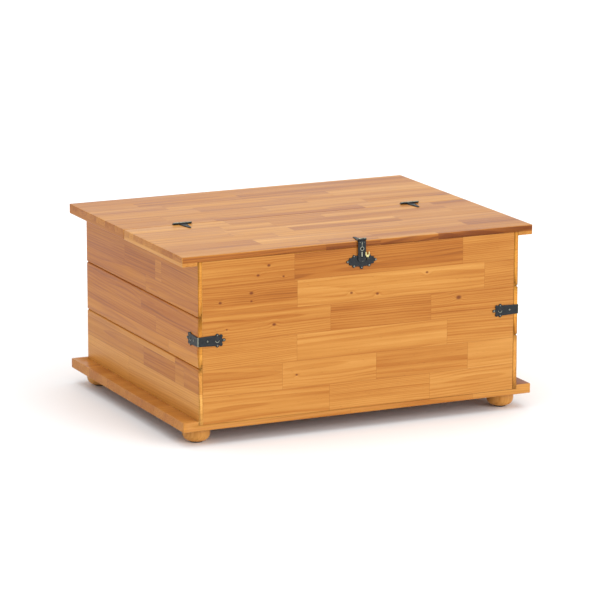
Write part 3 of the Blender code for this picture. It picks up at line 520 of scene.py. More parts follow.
class Board:
    """A CAD board whose surface is sawn into staves, each with its own grain, and whose ends and
    edges take painted shade, or painted light where their offset is below zero.
    """

    def __init__(self, node, end_shade=0.0, edge_shade=0.0, side_shade=0.0, square=SQUARE_ON):
        self.node = node
        self.end_shade = end_shade
        self.edge_shade = edge_shade
        self.side_shade = side_shade
        self.square = square    # how square to an axis a face is to take the shade of that side
        self.rng = random.Random(node)
        self.shape = bmesh.new()
        self.shape.from_mesh(frame["nodes"][node].data)
        bmesh.ops.remove_doubles(self.shape, verts=self.shape.verts, dist=WELD)
        self.low, self.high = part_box(node)
        self.layers, self.at = stave_layers(self.shape)

    def saw(self, axis, position, faces):
        """Cut the given faces across an axis."""
        edges = {edge for face in faces for edge in face.edges}
        verts = {vert for face in faces for vert in face.verts}
        point = Vector((0.0, 0.0, 0.0))
        point[axis] = position
        normal = Vector((0.0, 0.0, 0.0))
        normal[axis] = 1.0
        bmesh.ops.bisect_plane(self.shape, geom=[*faces, *edges, *verts], dist=CUT_SLACK,
                               plane_co=point, plane_no=normal)

    def inside(self, low, high):
        """Faces whose middle lies between two corners."""
        return [face for face in self.shape.faces
                if all(low[i] - SLACK <= face.calc_center_median()[i] <= high[i] + SLACK
                       for i in (X, Y, Z))]

    def mark(self, low, high, along, across, tone, knots):
        """Give the faces between two corners one stave's grain."""
        through = 3 - along - across
        rng = self.rng
        length = high[along] - low[along]
        middle = [(a + b) / 2 for a, b in zip(low, high)]
        if rng.random() < 0.5:      # pith below or above the stave, or else to one side of it
            pith = (rng.uniform(-0.03, 0.03), rng.choice((-1, 1)) * rng.uniform(0.025, 0.060))
        else:
            pith = (rng.choice((-1, 1)) * rng.uniform(0.05, 0.12), rng.uniform(-0.07, 0.07))
        lean = rng.uniform(-PITH_LEAN, PITH_LEAN) / max(length, SHORTEST_LEAN)
        seed = rng.random()
        own_knots = [
            (k[0] - middle[along], k[1] - middle[across], k[2]) for k in knots
            if low[along] < k[0] < high[along] and low[across] < k[1] < high[across]]
        own_knots = (own_knots + [NO_KNOT] * KNOTS_PER_STAVE)[:KNOTS_PER_STAVE]
        half = [(b - a) / 2 for a, b in zip(low, high)]
        for face in self.inside(low, high):
            end = abs(face.normal[along]) > self.square
            edge = abs(face.normal[across]) > self.square
            # Painted shade: ends and edges are darkened by the way they face, and lightened as
            # painted light where the offset is below zero.
            shade = self.end_shade if end else self.edge_shade if edge else 0.0
            face[self.layers["pith"]] = (*pith, lean)
            face[self.layers["stave"]] = (tone - shade, seed, 1.0 if end or edge else 0.0)
            outer_end = abs(face.normal[along]) > SLOPING
            outer_edge = abs(face.normal[across]) > SLOPING
            face[self.layers["seams"]] = (FAR if outer_end else half[along],
                                          FAR if outer_edge else half[across], self.side_shade)
            for name, place in zip(KNOT_NAMES, own_knots):
                face[self.layers[name]] = place
            for loop in face.loops:
                co = loop.vert.co
                loop[self.at] = (co[along] - middle[along], co[across] - middle[across],
                                 co[through] - middle[through])

    def lay(self, low, high, along, across, rows, downward=False, knots=()):
        """Saw the part of a board between two corners into rows of staves."""
        start = high[across] if downward else low[across]
        way = -1 if downward else 1
        for i, (width, staves) in enumerate(rows):
            stop = start + way * width
            if i == len(rows) - 1:
                stop = low[across] if downward else high[across]
            else:
                self.saw(across, stop, self.inside(low, high))
            row_low = Vector(low)
            row_high = Vector(high)
            row_low[across] = min(start, stop)
            row_high[across] = max(start, stop)
            left = low[along]
            for reach, tone in staves:
                right = min(low[along] + reach, high[along])
                if right < high[along]:
                    self.saw(along, right, self.inside(row_low, row_high))
                stave_low = row_low.copy()
                stave_high = row_high.copy()
                stave_low[along] = left
                stave_high[along] = right
                self.mark(stave_low, stave_high, along, across, tone, knots)
                left = right
            start = stop

    def random_rows(self, along, across, width, shortest=0.20, longest=0.45):
        """Rows of staves of chance length and tone that fill the board."""
        rows = []
        count = max(1, round((self.high[across] - self.low[across]) / width))
        length = self.high[along] - self.low[along]
        for _ in range(count):
            staves = []
            reach = self.rng.uniform(FIRST_STAVE * shortest, longest)
            while reach < length - LAST_STAVE:
                staves.append((reach, self.rng.uniform(BROWN, LIGHT)))
                reach += self.rng.uniform(shortest, longest)
            staves.append((length + BEYOND, self.rng.uniform(BROWN, LIGHT)))
            rows.append(((self.high[across] - self.low[across]) / count, staves))
        return rows

    def build(self, finish="pine"):
        """Make the piece, with shading that rounds its eased edges."""
        name = self.node + "_timber"
        piece = add_piece(name, shape_to_mesh(self.shape, name), finish, BODY_OF[self.node],
                          [self.node])
        weighted = piece.modifiers.new("flat_faces", "WEIGHTED_NORMAL")
        weighted.keep_sharp = True
        weighted.weight = FLATNESS


WHOLE = 0.01                # margin that takes in the whole of a board


def whole(board):
    """Corners that take in all of a board's faces."""
    margin = Vector((WHOLE, WHOLE, WHOLE))
    return board.low - margin, board.high + margin


def make_front_panel():
    """Front staves and knots, both measured from the left end of the base board."""
    # Its ends and edges, eased ones too, are lightened with painted light, against the shade in the
    # grooves where it meets the side planks and the base board.
    board = Board("front_panel", end_shade=-0.25, edge_shade=-0.18, square=SLOPING)
    low, high = board.low.copy(), board.high.copy()
    low.x = LEFT
    high.x = RIGHT
    low.y -= WHOLE
    high.y += WHOLE
    knots = [(LEFT + x, LID_TOP - drop, radius) for x, drop, radius in FRONT_KNOTS]
    board.lay(low, high, X, Z, FRONT_ROWS, downward=True, knots=knots)
    board.build()


LIPPING_DROP = 0.0145       # below the top of the lid, where the strips under its ends begin
STRIP_GAP = 0.0005          # between a strip and the wall


def make_lid_half(node, rows):
    """Staves along the top board, and a strip along each end under its overhang."""
    # The lid's ends and edges are darkened with painted shade.
    board = Board(node, end_shade=0.14, edge_shade=0.31)
    low, high = whole(board)
    lipping = LID_TOP - LIPPING_DROP
    strip_left, strip_right = BODY_LEFT - STRIP_GAP, BODY_RIGHT + STRIP_GAP
    low.x, high.x = board.low.x, board.high.x
    low.y, high.y = board.low.y, board.high.y
    board.saw(Z, lipping, board.inside(low, high))
    for x in (strip_left, strip_right):
        board.saw(X, x, board.inside(low, Vector((high.x, high.y, lipping))))
    board.lay(Vector((low.x, low.y, lipping)), high, X, Y, rows, downward=True)
    board.lay(Vector((strip_left, low.y, low.z)), Vector((strip_right, high.y, lipping)),
              X, Y, rows, downward=True)
    strip_tone = PALE if node == "lid_flap" else DARK
    board.edge_shade = 0.0
    for left, right in ((low.x, strip_left), (strip_right, high.x)):
        board.lay(Vector((left, low.y, low.z)), Vector((right, high.y, lipping)), Y, X,
                  ((BEYOND, ((BEYOND, strip_tone),)),))
    board.build("pine_lid")


BASE_STAVE_WIDTH = 0.0583
PLANK_STAVE_WIDTH = 0.043   # on the right side


def make_side_planks():
    """The left side's staves are laid as listed, the right side's by chance."""
    for side in ("left", "right"):
        for level, rows in (("upper", SIDE_UPPER_ROWS), ("middle", SIDE_MIDDLE_ROWS),
                            ("lower", SIDE_LOWER_ROWS)):
            # Side planks take a darker, more saturated tint, a painted shade against their pale
            # sheen; the lower ones, with less sheen, take half.
            side_shade = 0.5 if level == "lower" else 1.0
            # Their ends, eased ones too, are lightened with painted light.
            board = Board("side_" + side + "_" + level, end_shade=-0.22, side_shade=side_shade, square=SLOPING)
            low, high = whole(board)
            low.y, high.y = board.low.y, board.high.y
            low.z, high.z = board.low.z, board.high.z
            if side == "right":
                rows = board.random_rows(Y, Z, PLANK_STAVE_WIDTH)
            board.lay(low, high, Y, Z, rows, downward=True)
            board.build()


UNDERSIDE_SHADE_TONE = 0.10       # of the base board: a painted shade that deepens the shadow beneath the chest
RIGHT_LEDGE_SHADE_TONE = 0.05     # of the base board's top beyond the right wall: a painted shade, as if the wall shaded it


def make_base_board():
    """Base board with painted shade on its underside, on its ledge beyond the right wall, and a
    little on its ends and edges.
    """
    board = Board("base_board", end_shade=0.08, edge_shade=0.04)
    low, high = whole(board)
    low.x, high.x = board.low.x, board.high.x
    low.y, high.y = board.low.y, board.high.y
    board.lay(low, high, X, Y, board.random_rows(X, Y, BASE_STAVE_WIDTH))
    board.saw(X, BODY_RIGHT, [face for face in board.shape.faces if face.normal.z > SQUARE_ON])
    for face in board.shape.faces:
        _, seed, end = face[board.layers["stave"]]
        if face.normal.z < -SQUARE_ON:
            face[board.layers["stave"]] = (UNDERSIDE_SHADE_TONE, seed, end)
        elif face.normal.z > SQUARE_ON and face.calc_center_median().x > BODY_RIGHT:
            face[board.layers["stave"]] = (RIGHT_LEDGE_SHADE_TONE, seed, end)
    board.build()


WHOLE_LENGTH = 2.0          # longer than any board, so that it is one stave long


def make_hidden_boards():
    """Back panel and inside timbers: each is laid with chance staves or is one length of wood."""
    for node, along, across, width in (
            ("back_panel", X, Z, 0.064), ("seam_rail", X, Y, 0.060), ("back_cleat", X, Y, 0.020),
            ("flap_batten_left", Y, X, 0.040), ("flap_batten_right", Y, X, 0.040),
            *(("corner_post_" + corner, Z, X, 0.028) for corner in CORNERS)):
        board = Board(node)
        low, high = whole(board)
        low[along], high[along] = board.low[along], board.high[along]
        low[across], high[across] = board.low[across], board.high[across]
        shortest = 0.20 if node == "back_panel" else WHOLE_LENGTH
        board.lay(low, high, along, across,
                  board.random_rows(along, across, width, shortest, shortest + 0.25))
        board.build()


WOBBLE_SCALE = 1.7
WOBBLE_SHIFT = 900


def turned_shape(profile, steps, wobble=0.0):
    """Shape turned about local Z from (radius, height) points that run from axis to axis.

    wobble is how uneven its radius is, as a share.
    """
    shape = bmesh.new()
    rings = []
    for radius, height in profile:
        if radius == 0.0:
            rings.append([shape.verts.new((0.0, 0.0, height))])
            continue
        ring = []
        for i in range(steps):
            angle = 2 * math.pi * i / steps
            spot = Vector((math.cos(angle), math.sin(angle), height / radius))
            unevenness = noise.noise(spot * WOBBLE_SCALE + Vector((radius * WOBBLE_SHIFT, 0, 0)))
            reach = radius * (1 + wobble * unevenness)
            ring.append(shape.verts.new((reach * math.cos(angle), reach * math.sin(angle), height)))
        rings.append(ring)
    for upper, lower in zip(rings, rings[1:]):
        for i in range(steps):
            j = (i + 1) % steps
            corners = [upper[i % len(upper)], lower[i % len(lower)], lower[j % len(lower)],
                       upper[j % len(upper)]]
            unique = list(dict.fromkeys(corners))
            if len(unique) > 2:
                shape.faces.new(unique)
    bmesh.ops.recalc_face_normals(shape, faces=shape.faces)
    return shape


def arc(centre_u, centre_v, radius, start, end, count):
    """Points on part of a circle, from a start to an end angle in degrees."""
    angles = [math.radians(start + (end - start) * i / count) for i in range(count + 1)]
    return [(centre_u + radius * math.cos(a), centre_v + radius * math.sin(a)) for a in angles]


FOOT_STEPS = 96
FOOT_SWELL = 0.62           # widest level of a foot, as a share of its height
FOOT_TOP = 0.78             # flat of its top, as a share of its radius
FOOT_RIM = 0.30             # where its shoulder ends, as a share of the way from swell to top
SHOULDER_STEPS = 8
FLANK_STEPS = 24
FOOT_FLAT = 0.0175          # radius of its underside
BORE_RADIUS = 0.0043        # blind hole for the dowel screw
BORE_LOW = 0.0117
FOOT_PITH = (0.041, 0.016)  # beside the foot's axis


def make_feet():
    """Bun feet with upright grain, turned finely from the middle of the top down the flank."""
    for corner in CORNERS:
        node = "foot_" + corner
        low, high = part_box(node)
        radius = (high.x - low.x) / 2
        swell = FOOT_SWELL * high.z
        profile = [(0.0, BORE_LOW), (BORE_RADIUS, BORE_LOW), (BORE_RADIUS, high.z),
                   (FOOT_TOP * radius, high.z)]
        for i in range(1, SHOULDER_STEPS + 1):
            turn = math.radians(90 - 90 * i / SHOULDER_STEPS)
            rise = FOOT_RIM + (1 - FOOT_RIM) * math.sin(turn)
            profile.append((radius * (FOOT_TOP + (1 - FOOT_TOP) * math.cos(turn)),
                            swell + (high.z - swell) * rise))
        for i in range(1, FLANK_STEPS + 1):
            fall = math.sin(math.radians(90 * i / FLANK_STEPS))
            profile.append((FOOT_FLAT + (radius - FOOT_FLAT) * math.sqrt(max(0.0, 1 - fall ** 2)),
                            swell + (low.z - swell) * fall))
        profile.append((0.0, low.z))
        shape = turned_shape(profile, FOOT_STEPS)
        rng = random.Random(node)
        middle = Vector(((low.x + high.x) / 2, (low.y + high.y) / 2, (low.z + high.z) / 2))
        seed = rng.random()
        layers, at = stave_layers(shape)
        for face in shape.faces:
            face[layers["pith"]] = (*FOOT_PITH, 0.0)
            face[layers["stave"]] = (PALE, seed, 1.0 if abs(face.normal.z) > SQUARE_ON else 0.0)
            face[layers["seams"]] = (FAR, FAR, 0.0)
            for name in KNOT_NAMES:
                face[layers[name]] = NO_KNOT
            for loop in face.loops:
                co = loop.vert.co
                loop[at] = (co.z - middle.z, co.x, co.y)
        bmesh.ops.translate(shape, verts=shape.verts, vec=(middle.x, middle.y, 0.0))
        add_piece(node + "_turned", shape_to_mesh(shape, node + "_turned"), "pine", "chest", [node])


GLIDE_STEPS = 64
GLIDE_ROUND = 0.0009        # radius of its rims
GLIDE_WOBBLE = 0.012
FLAT_SHARE = 0.6            # of its radius, where its flat sides have a ring of points


def make_glides():
    """Felt discs with soft rims."""
    for corner in CORNERS:
        node = "glide_" + corner
        low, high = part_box(node)
        radius = (high.x - low.x) / 2
        rim = radius - GLIDE_ROUND
        profile = [(0.0, high.z), (FLAT_SHARE * radius, high.z)]
        profile += arc(rim, high.z - GLIDE_ROUND, GLIDE_ROUND, 90, 0, 4)
        profile += arc(rim, low.z + GLIDE_ROUND, GLIDE_ROUND, 0, -90, 4)
        profile += [(FLAT_SHARE * radius, low.z), (0.0, low.z)]
        shape = turned_shape(profile, GLIDE_STEPS, wobble=GLIDE_WOBBLE)
        bmesh.ops.translate(shape, verts=shape.verts,
                            vec=((low.x + high.x) / 2, (low.y + high.y) / 2, 0.0))
        add_piece(node + "_felt", shape_to_mesh(shape, node + "_felt"), "felt", "chest", [node])


PIN_STEPS = 24
DOME_DEPTH = 0.6            # of a pin's end, in radii


def make_pins():
    """Hinge pins with domed ends."""
    for node in ("hinge_pin_left", "hinge_pin_right", "hasp_pin"):
        low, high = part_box(node)
        radius = (high.z - low.z) / 2
        half = (high.x - low.x) / 2
        dome = arc(0.0, half - DOME_DEPTH * radius, radius, 90, 0, 5)
        profile = [(0.0, half)] + [(u, min(v, half)) for u, v in dome[1:]]
        profile += [(radius, 0.0)] + [(u, -v) for u, v in reversed(profile)]
        shape = turned_shape(profile, PIN_STEPS)
        place = Matrix.Translation((low + high) / 2) @ Matrix.Rotation(math.pi / 2, 4, "Y")
        bmesh.ops.transform(shape, matrix=place, verts=shape.verts)
        add_piece(node + "_rod", shape_to_mesh(shape, node + "_rod"), "steel", BODY_OF[node], [node])


HEAD_HEIGHT = 0.0010        # nail heads above the iron
HEAD_RADIUS = 0.0024
HEAD_UNDERCUT = 0.9         # radius under the head, as a share
HEAD_LIP = 0.00015          # below the head's rim
HEAD_WOBBLE = 0.16
NAIL_STEPS = 20
SHANK_RADIUS = 0.0009
SHANK_TOP = 0.0002
LEAF_NAIL_SUNK = 0.0005     # hammered lower, so that the folded hasp strap clears it


def make_nail(name, base, direction, length, body, radius=HEAD_RADIUS, nodes=()):
    """A hand-made nail: an uneven domed head on a shank, standing on a base point."""
    head = [(radius * u, HEAD_HEIGHT * v) for u, v in arc(0.0, 0.0, 1.0, 90, 0, 6)]
    head[0] = (0.0, HEAD_HEIGHT)
    profile = head + [(HEAD_UNDERCUT * radius, -HEAD_LIP), (SHANK_RADIUS, -SHANK_TOP),
                      (SHANK_RADIUS, -length), (0.0, -length)]
    shape = turned_shape(profile, NAIL_STEPS, wobble=HEAD_WOBBLE)
    rng = random.Random(name)
    spin = Matrix.Rotation(rng.uniform(0, 2 * math.pi), 4, "Z")
    place = Matrix.Translation(base) @ direction.to_track_quat("Z", "Y").to_matrix().to_4x4() @ spin
    bmesh.ops.transform(shape, matrix=place, verts=shape.verts)
    add_piece(name, shape_to_mesh(shape, name), "nail", body, nodes)


def make_cad_nails():
    """Finer nails in the places of the CAD ones."""
    for node, body in BODY_OF.items():
        if "_nail" not in node and "hinge_screw" not in node:
            continue
        if node.startswith("bracket_nail_side"):
            direction = Vector((-1.0 if node.endswith("left") else 1.0, 0.0, 0.0))
        elif node.startswith("hinge_screw") or node == "hasp_leaf_nail":
            direction = Vector((0.0, 0.0, 1.0))
        else:
            direction = Vector((0.0, -1.0, 0.0))
        low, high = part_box(node)
        reach = abs((high - low).dot(direction)) / 2
        sunk = HEAD_HEIGHT + (LEAF_NAIL_SUNK if node == "hasp_leaf_nail" else 0.0)
        base = (low + high) / 2 + direction * (reach - sunk)
        make_nail(node + "_forged", base, direction, 2 * reach - sunk, body, nodes=[node])


VOXEL = 0.00045             # fineness of the forged surfaces
BRASS_VOXEL = 0.00028
DENTS = 0.00010             # depth of the hammer marks
BRASS_DENTS = 0.00003
DENT_SCALE = 330.0
FINE_DENT_SCALE = 950.0
FINE_DENT_SHARE = 0.3
SMOOTH_FACTOR = 0.4
FACING = 0.4                # a surface whose normal has this much towards the front is its face


def hump(distance, radius):
    """1 at the middle of a round hump, 0 beyond its radius."""
    share = min(1.0, distance / radius)
    return (1 - share * share) ** 2


def ridge(distance, radius, half_width):
    """1 on a ring of the given radius, 0 beyond half a width of it."""
    return hump(abs(distance - radius), half_width)


def forge(node, relief, finish="iron", voxel=VOXEL, dents=DENTS):
    """Hammered metal in the shape of a CAD node. relief(point, normal) gives (height, wear), where
    the wear also carries painted highlights.
    """
    shape = bmesh.new()
    shape.from_mesh(frame["nodes"][node].data)
    bmesh.ops.remove_doubles(shape, verts=shape.verts, dist=WELD)
    rough_mesh = bpy.data.meshes.new(node + "_blank")
    shape.to_mesh(rough_mesh)
    shape.free()
    blank = add_object(node + "_blank", rough_mesh)
    remesh = blank.modifiers.new("even_surface", "REMESH")
    remesh.mode = "VOXEL"
    remesh.voxel_size = voxel
    depsgraph = bpy.context.evaluated_depsgraph_get()
    even = bpy.data.meshes.new_from_object(blank.evaluated_get(depsgraph))
    bpy.data.objects.remove(blank)
    shape = bmesh.new()
    shape.from_mesh(even)
    for _ in range(2):
        bmesh.ops.smooth_vert(shape, verts=shape.verts, factor=SMOOTH_FACTOR, use_axis_x=True,
                              use_axis_y=True, use_axis_z=True)
    shape.normal_update()
    wear = shape.verts.layers.float.new("wear_and_glint")
    moves = []
    for vert in shape.verts:
        height, wear_and_glint = relief(vert.co, vert.normal)
        fine = noise.noise(vert.co * FINE_DENT_SCALE)
        beat = noise.noise(vert.co * DENT_SCALE) + FINE_DENT_SHARE * fine
        vert[wear] = wear_and_glint
        moves.append(vert.co + vert.normal * (height + dents * beat))
    for vert, co in zip(shape.verts, moves):
        vert.co = co
    add_piece(node + "_forged", shape_to_mesh(shape, node + "_forged", sharp=FORGED_SHARP_ANGLE),
              finish, BODY_OF[node], [node])


BRIGHT_FROM = 0.0052        # above its pivot, where the turn button is bright
PIVOT_RING = 0.0037
CRESCENT_HALF_WIDTH = 0.0010
CRESCENT_SPREAD = 0.0012    # how far the crescent runs past its quarter of the ring


def button_relief():
    """Bright fork above a blackened boss, with a painted highlight in one crescent of its ring."""
    low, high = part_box("button_rivet")
    pivot = (low + high) / 2

    def relief(point, _normal):
        rise = point.z - pivot.z
        if rise > BRIGHT_FROM:
            return 0.0, 1.0
        spot = Vector((point.x - pivot.x, rise))
        # Painted highlight: a crescent on one side of the ring round the pivot.
        if spot.x <= abs(rise) - CRESCENT_SPREAD:
            return 0.0, 0.0
        return 0.0, 0.8 * ridge(spot.length, PIVOT_RING, CRESCENT_HALF_WIDTH)
    return relief


def plain_relief(_point, _normal):
    """Neither relief nor wear."""
    return 0.0, 0.0


BARREL_CROWN = 0.0022       # height of the bright part of a barrel, which is wear and a painted highlight
BARREL_WEAR_AND_GLINT = 0.95


def hinge_relief(node):
    """Wear and a painted highlight along the top of the barrel, brighter the more it faces up."""
    _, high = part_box(node)

    def relief(point, normal):
        top = max(0.0, normal.z) if point.z > high.z - BARREL_CROWN else 0.0
        return 0.0, BARREL_WEAR_AND_GLINT * top
    return relief


EYE = Vector((0.0, 0.0180))     # across, and down from the top of the lid
EYE_RING = (0.0042, 0.0012)     # radius and half width
RIB_DROPS = (0.0020, 0.0135)
RIB_HALF_WIDTH = 0.0013
STUDS = (Vector((-0.0052, 0.0030)), Vector((0.0052, 0.0030)))
STUD_RADIUS = 0.0014
TOE = Vector((0.0, 0.0400))     # middle of the strap's rounded end
TOE_RIM = (0.0082, 0.0009)
BARREL_LOW = 0.0060             # above the top of the lid, past which lies the barrel


def strap_relief(point, normal):
    """A rib down to a ring round the eye, two small studs, wear on the toe, and wear with a painted
    highlight on the top of the barrel.
    """
    # The barrel is brighter the more it faces up: wear and a painted highlight.
    if point.z > LID_TOP + BARREL_LOW:
        return 0.0, BARREL_WEAR_AND_GLINT * max(0.0, normal.z)
    if normal.y > -FACING:
        return 0.0, 0.0
    spot = Vector((point.x, LID_TOP - point.z))
    ring = ridge((spot - EYE).length, *EYE_RING)
    rib = hump(abs(spot.x), RIB_HALF_WIDTH) if RIB_DROPS[0] < spot.y < RIB_DROPS[1] else 0.0
    stud = max(hump((spot - place).length, STUD_RADIUS) for place in STUDS)
    toe = ridge((spot - TOE).length, *TOE_RIM) if spot.y > TOE.y else 0.0
    height = 0.0002 * ring + 0.0002 * rib + 0.0003 * stud
    return height, max(0.95 * ring, 0.75 * rib, 0.9 * stud, 0.55 * toe)


PLATE_CENTRE_DROP = 0.0470
PLATE_LOBES = ((0.0362, 0.0), (0.0290, 0.0066), (0.0195, 0.0118))
PLATE_LOW_LOBE = Vector((0.0, -0.0156))
PLATE_LOBE_RADIUS = 0.0034
PLATE_LOW_LOBE_RADIUS = 0.0040
BAR_FACE = 0.0030           # in front of the panel, past which lies the face of the bar


def plate_relief(point, normal):
    """Domed lobes, and a bright bar in the slot of the strap."""
    if FRONT - point.y > BAR_FACE:
        return 0.0, 1.0
    if normal.y > -FACING:
        return 0.0, 0.0
    spot = Vector((abs(point.x), PLATE_CENTRE_DROP - (LID_TOP - point.z)))
    dome = hump((spot - PLATE_LOW_LOBE).length, PLATE_LOW_LOBE_RADIUS)
    for u, v in PLATE_LOBES:
        dome = max(dome, hump((spot - Vector((u, v))).length, PLATE_LOBE_RADIUS),
                   hump((spot - Vector((u, -v))).length, PLATE_LOBE_RADIUS))
    return 0.00035 * dome, 0.25 * dome


ROSETTE_FROM_TIP = 0.0205
LOBE_FROM_TIP = 0.0042
LOBES = ((0.0, 0.0121), (0.0092, 0.0098))   # from the rosette's centre
TIP_LOBE_RADIUS = 0.0044
LOBE_RADIUS = 0.0042
BOSS_RADIUS = 0.0056
ROSETTE_RING = (0.0070, 0.0013)     # radius and half width
GLINT_RING = (0.0045, 0.0012)
STRAP_START = 0.0135        # from the rosette's centre, where the strap's rims start
RIM = (0.0085, 0.0012)      # from the strap's middle, and half width
BEND_WEAR_RADIUS = 0.0022
BRACKET_FACING = 0.6


def bracket_relief(side):
    """Bright bend, and on each leg a boss with a ring in the rosette and domed lobes, and a painted
    highlight on the lower half of the boss.
    """
    node = "corner_bracket_" + side
    low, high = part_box(node)
    way = -1 if side == "left" else 1
    corner_x = low.x if side == "left" else high.x
    corner_y = low.y
    front_leg = high.x - low.x
    side_leg = high.y - low.y
    middle_z = (low.z + high.z) / 2

    def relief(point, normal):
        on_front = -normal.y > BRACKET_FACING
        on_side = normal.x * way > BRACKET_FACING
        bend = math.hypot(point.x - corner_x, point.y - corner_y)
        wear = 1.1 * hump(bend, BEND_WEAR_RADIUS)
        if not on_front and not on_side:
            return 0.0, wear
        along = abs(point.x - corner_x) if on_front else point.y - corner_y
        leg = front_leg if on_front else side_leg
        spot = Vector((along - (leg - ROSETTE_FROM_TIP), point.z - middle_z))
        distance = spot.length
        boss = hump(distance, BOSS_RADIUS)
        ring = ridge(distance, *ROSETTE_RING)
        tip = Vector((ROSETTE_FROM_TIP - LOBE_FROM_TIP, 0.0))
        lobe = hump((spot - tip).length, TIP_LOBE_RADIUS)
        mirrored = Vector((spot.x, abs(spot.y)))
        for place in LOBES:
            lobe = max(lobe, hump((mirrored - Vector(place)).length, LOBE_RADIUS))
        rim = 0.0 if distance < STRAP_START else ridge(abs(spot.y), *RIM)
        height = 0.0008 * boss + 0.0003 * ring + 0.0005 * lobe + 0.00025 * rim
        # Painted highlight: a bright ring on the lower half of the boss.
        glint = ridge(distance, *GLINT_RING) if spot.y < 0 else 0.0
        return height, max(wear, 0.25 * lobe, 0.85 * glint, 0.15 * ring)
    return relief


def make_ironwork():
    """Hinges, brackets, hasp and turn button."""
    for side in ("left", "right"):
        for part in ("leaf", "strap"):
            node = "hinge_" + part + "_" + side
            forge(node, hinge_relief(node))
        forge("corner_bracket_" + side, bracket_relief(side))
    forge("hasp_leaf", hinge_relief("hasp_leaf"))
    forge("hasp_strap", strap_relief)
    forge("hasp_plate", plate_relief)
    forge("turn_button", button_relief(), "brass", BRASS_VOXEL, BRASS_DENTS)
    forge("button_rivet", plain_relief, "brass", BRASS_VOXEL, BRASS_DENTS)


SMALL_NAIL_RAISED = 0.0003  # above the brackets, on their domed lobes
PLATE_NAIL_LENGTH = 0.0022
PLATE_NAIL_RADIUS = 0.0017
BRACKET_NAIL_LENGTH = 0.0016
BRACKET_NAIL_RADIUS = 0.0019


def make_small_nails():
    """Nails in the lobes, besides the ones that the CAD carries."""
    plate_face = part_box("plate_nail_left_tip")[0].y + HEAD_HEIGHT
    out = Vector((0.0, -1.0, 0.0))
    middle = LID_TOP - PLATE_CENTRE_DROP
    across, up = PLATE_LOBES[2]
    for name, x, z in (("left_high", -across, up), ("right_high", across, up),
                       ("low", PLATE_LOW_LOBE.x, PLATE_LOW_LOBE.y)):
        make_nail("plate_small_nail_" + name, Vector((x, plate_face, middle + z)), out,
                  PLATE_NAIL_LENGTH, "chest", PLATE_NAIL_RADIUS)
    for side, way in (("left", -1), ("right", 1)):
        low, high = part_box("corner_bracket_" + side)
        corner_x = low.x if side == "left" else high.x
        middle = (low.z + high.z) / 2
        for leg, length in (("front", high.x - low.x), ("side", high.y - low.y)):
            for spot, v in (("high", 1), ("low", -1)):
                along = length - ROSETTE_FROM_TIP
                z = middle + v * LOBES[0][1]
                if leg == "front":
                    base = Vector((corner_x - way * along, low.y - SMALL_NAIL_RAISED, z))
                    direction = out
                else:
                    base = Vector((corner_x + way * SMALL_NAIL_RAISED, low.y + along, z))
                    direction = Vector((way, 0.0, 0.0))
                make_nail("bracket_small_nail_" + leg + "_" + spot + "_" + side, base, direction,
                          BRACKET_NAIL_LENGTH, "chest", BRACKET_NAIL_RADIUS)


def finish_cad_nodes():
    """Give every CAD node that still shows the finish of its slot."""
    slots = {row["node"]: row["material_slot"] for row in frame["record"]["subparts"]}
    for node, piece in frame["nodes"].items():
        for material_slot in piece.material_slots:
            material_slot.material = MATERIALS[slots[node]]


def make_camera():
    """Camera to the front left of the chest, looking down a little."""
    data = bpy.data.cameras.new("camera")
    data.lens = CAMERA_LENS
    data.sensor_width = SENSOR_WIDTH
    data.clip_end = CAMERA_CLIP_END
    camera = add_object("camera", data)
    aim = (CAD_LOW + CAD_HIGH) / 2 + CAMERA_AIM
    level = math.cos(CAMERA_PITCH)
    away = Vector((math.sin(CAMERA_AZIMUTH) * level, -math.cos(CAMERA_AZIMUTH) * level,
                   math.sin(CAMERA_PITCH)))
    camera.location = aim + away * CAMERA_DISTANCE
    camera.rotation_euler = (-away).to_track_quat("-Z", "Y").to_euler()
    bpy.context.scene.camera = camera


FLOOR_REACH = 40.0


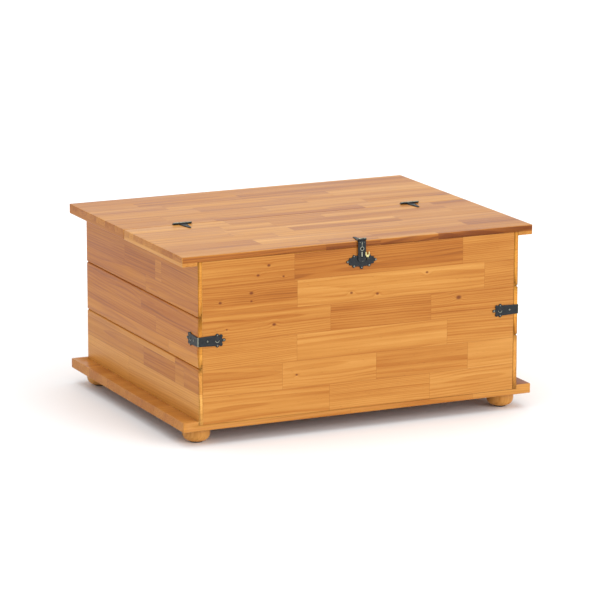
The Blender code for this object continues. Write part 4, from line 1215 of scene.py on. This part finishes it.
def make_floor():
    """Pale studio floor that runs far past the view."""
    shape = bmesh.new()
    bmesh.ops.create_grid(shape, x_segments=8, y_segments=8, size=FLOOR_REACH)
    mesh = bpy.data.meshes.new("floor")
    shape.to_mesh(mesh)
    shape.free()
    floor = add_object("floor", mesh)
    n = Nodes("floor_paper")
    n.set("Base Color", n.mix(n.noise(n.place(), scale=3.0), (0.96, 0.965, 0.97, 1.0),
                              (0.97, 0.975, 0.98, 1.0)))
    n.set("Roughness", 0.9)
    n.set("Specular IOR Level", 0.1)
    mesh.materials.append(n.material)


SKY_STRENGTH = 0.70         # white studio all round, as the object sees it
BACKDROP_STRENGTH = 1.0     # the same studio, as the camera sees it beyond the floor
# Soft lights: (name, direction from the chest, angle that the light fills, strength).
SOFT_LIGHTS = (
    ("overhead", Vector((-0.10, 0.0, 1.0)), math.radians(80), 1.38),
    ("key", Vector((0.48, -0.82, 0.34)), math.radians(40), 1.46),
    ("rear", Vector((0.41, 0.88, 0.30)), math.radians(60), 0.22),
)
LIGHT_DISTANCE = 3.0        # where the lights' markers stand; suns shine alike from anywhere


def make_lights():
    """White surroundings and wide soft suns."""
    world = bpy.data.worlds.new("studio")
    world.use_nodes = True
    tree = world.node_tree
    background = tree.nodes["Background"]
    background.inputs["Color"].default_value = (1.0, 1.0, 1.0, 1.0)
    path = tree.nodes.new("ShaderNodeLightPath")
    strength = tree.nodes.new("ShaderNodeMapRange")
    strength.inputs["To Min"].default_value = SKY_STRENGTH
    strength.inputs["To Max"].default_value = BACKDROP_STRENGTH
    tree.links.new(path.outputs["Is Camera Ray"], strength.inputs["Value"])
    tree.links.new(strength.outputs["Result"], background.inputs["Strength"])
    bpy.context.scene.world = world
    for name, direction, angle, energy in SOFT_LIGHTS:
        data = bpy.data.lights.new(name, "SUN")
        data.angle = angle
        data.energy = energy
        light = add_object(name, data)
        light.location = direction * LIGHT_DISTANCE
        light.rotation_euler = direction.to_track_quat("Z", "Y").to_euler()
    bpy.context.scene.view_settings.view_transform = "Standard"


make_front_panel()
make_lid_half("lid_rear", LID_REAR_ROWS)
make_lid_half("lid_flap", LID_FLAP_ROWS)
make_side_planks()
make_base_board()
make_hidden_boards()
make_feet()
make_glides()
make_pins()
make_cad_nails()
make_ironwork()
make_small_nails()
finish_cad_nodes()
make_camera()
make_floor()
make_lights()
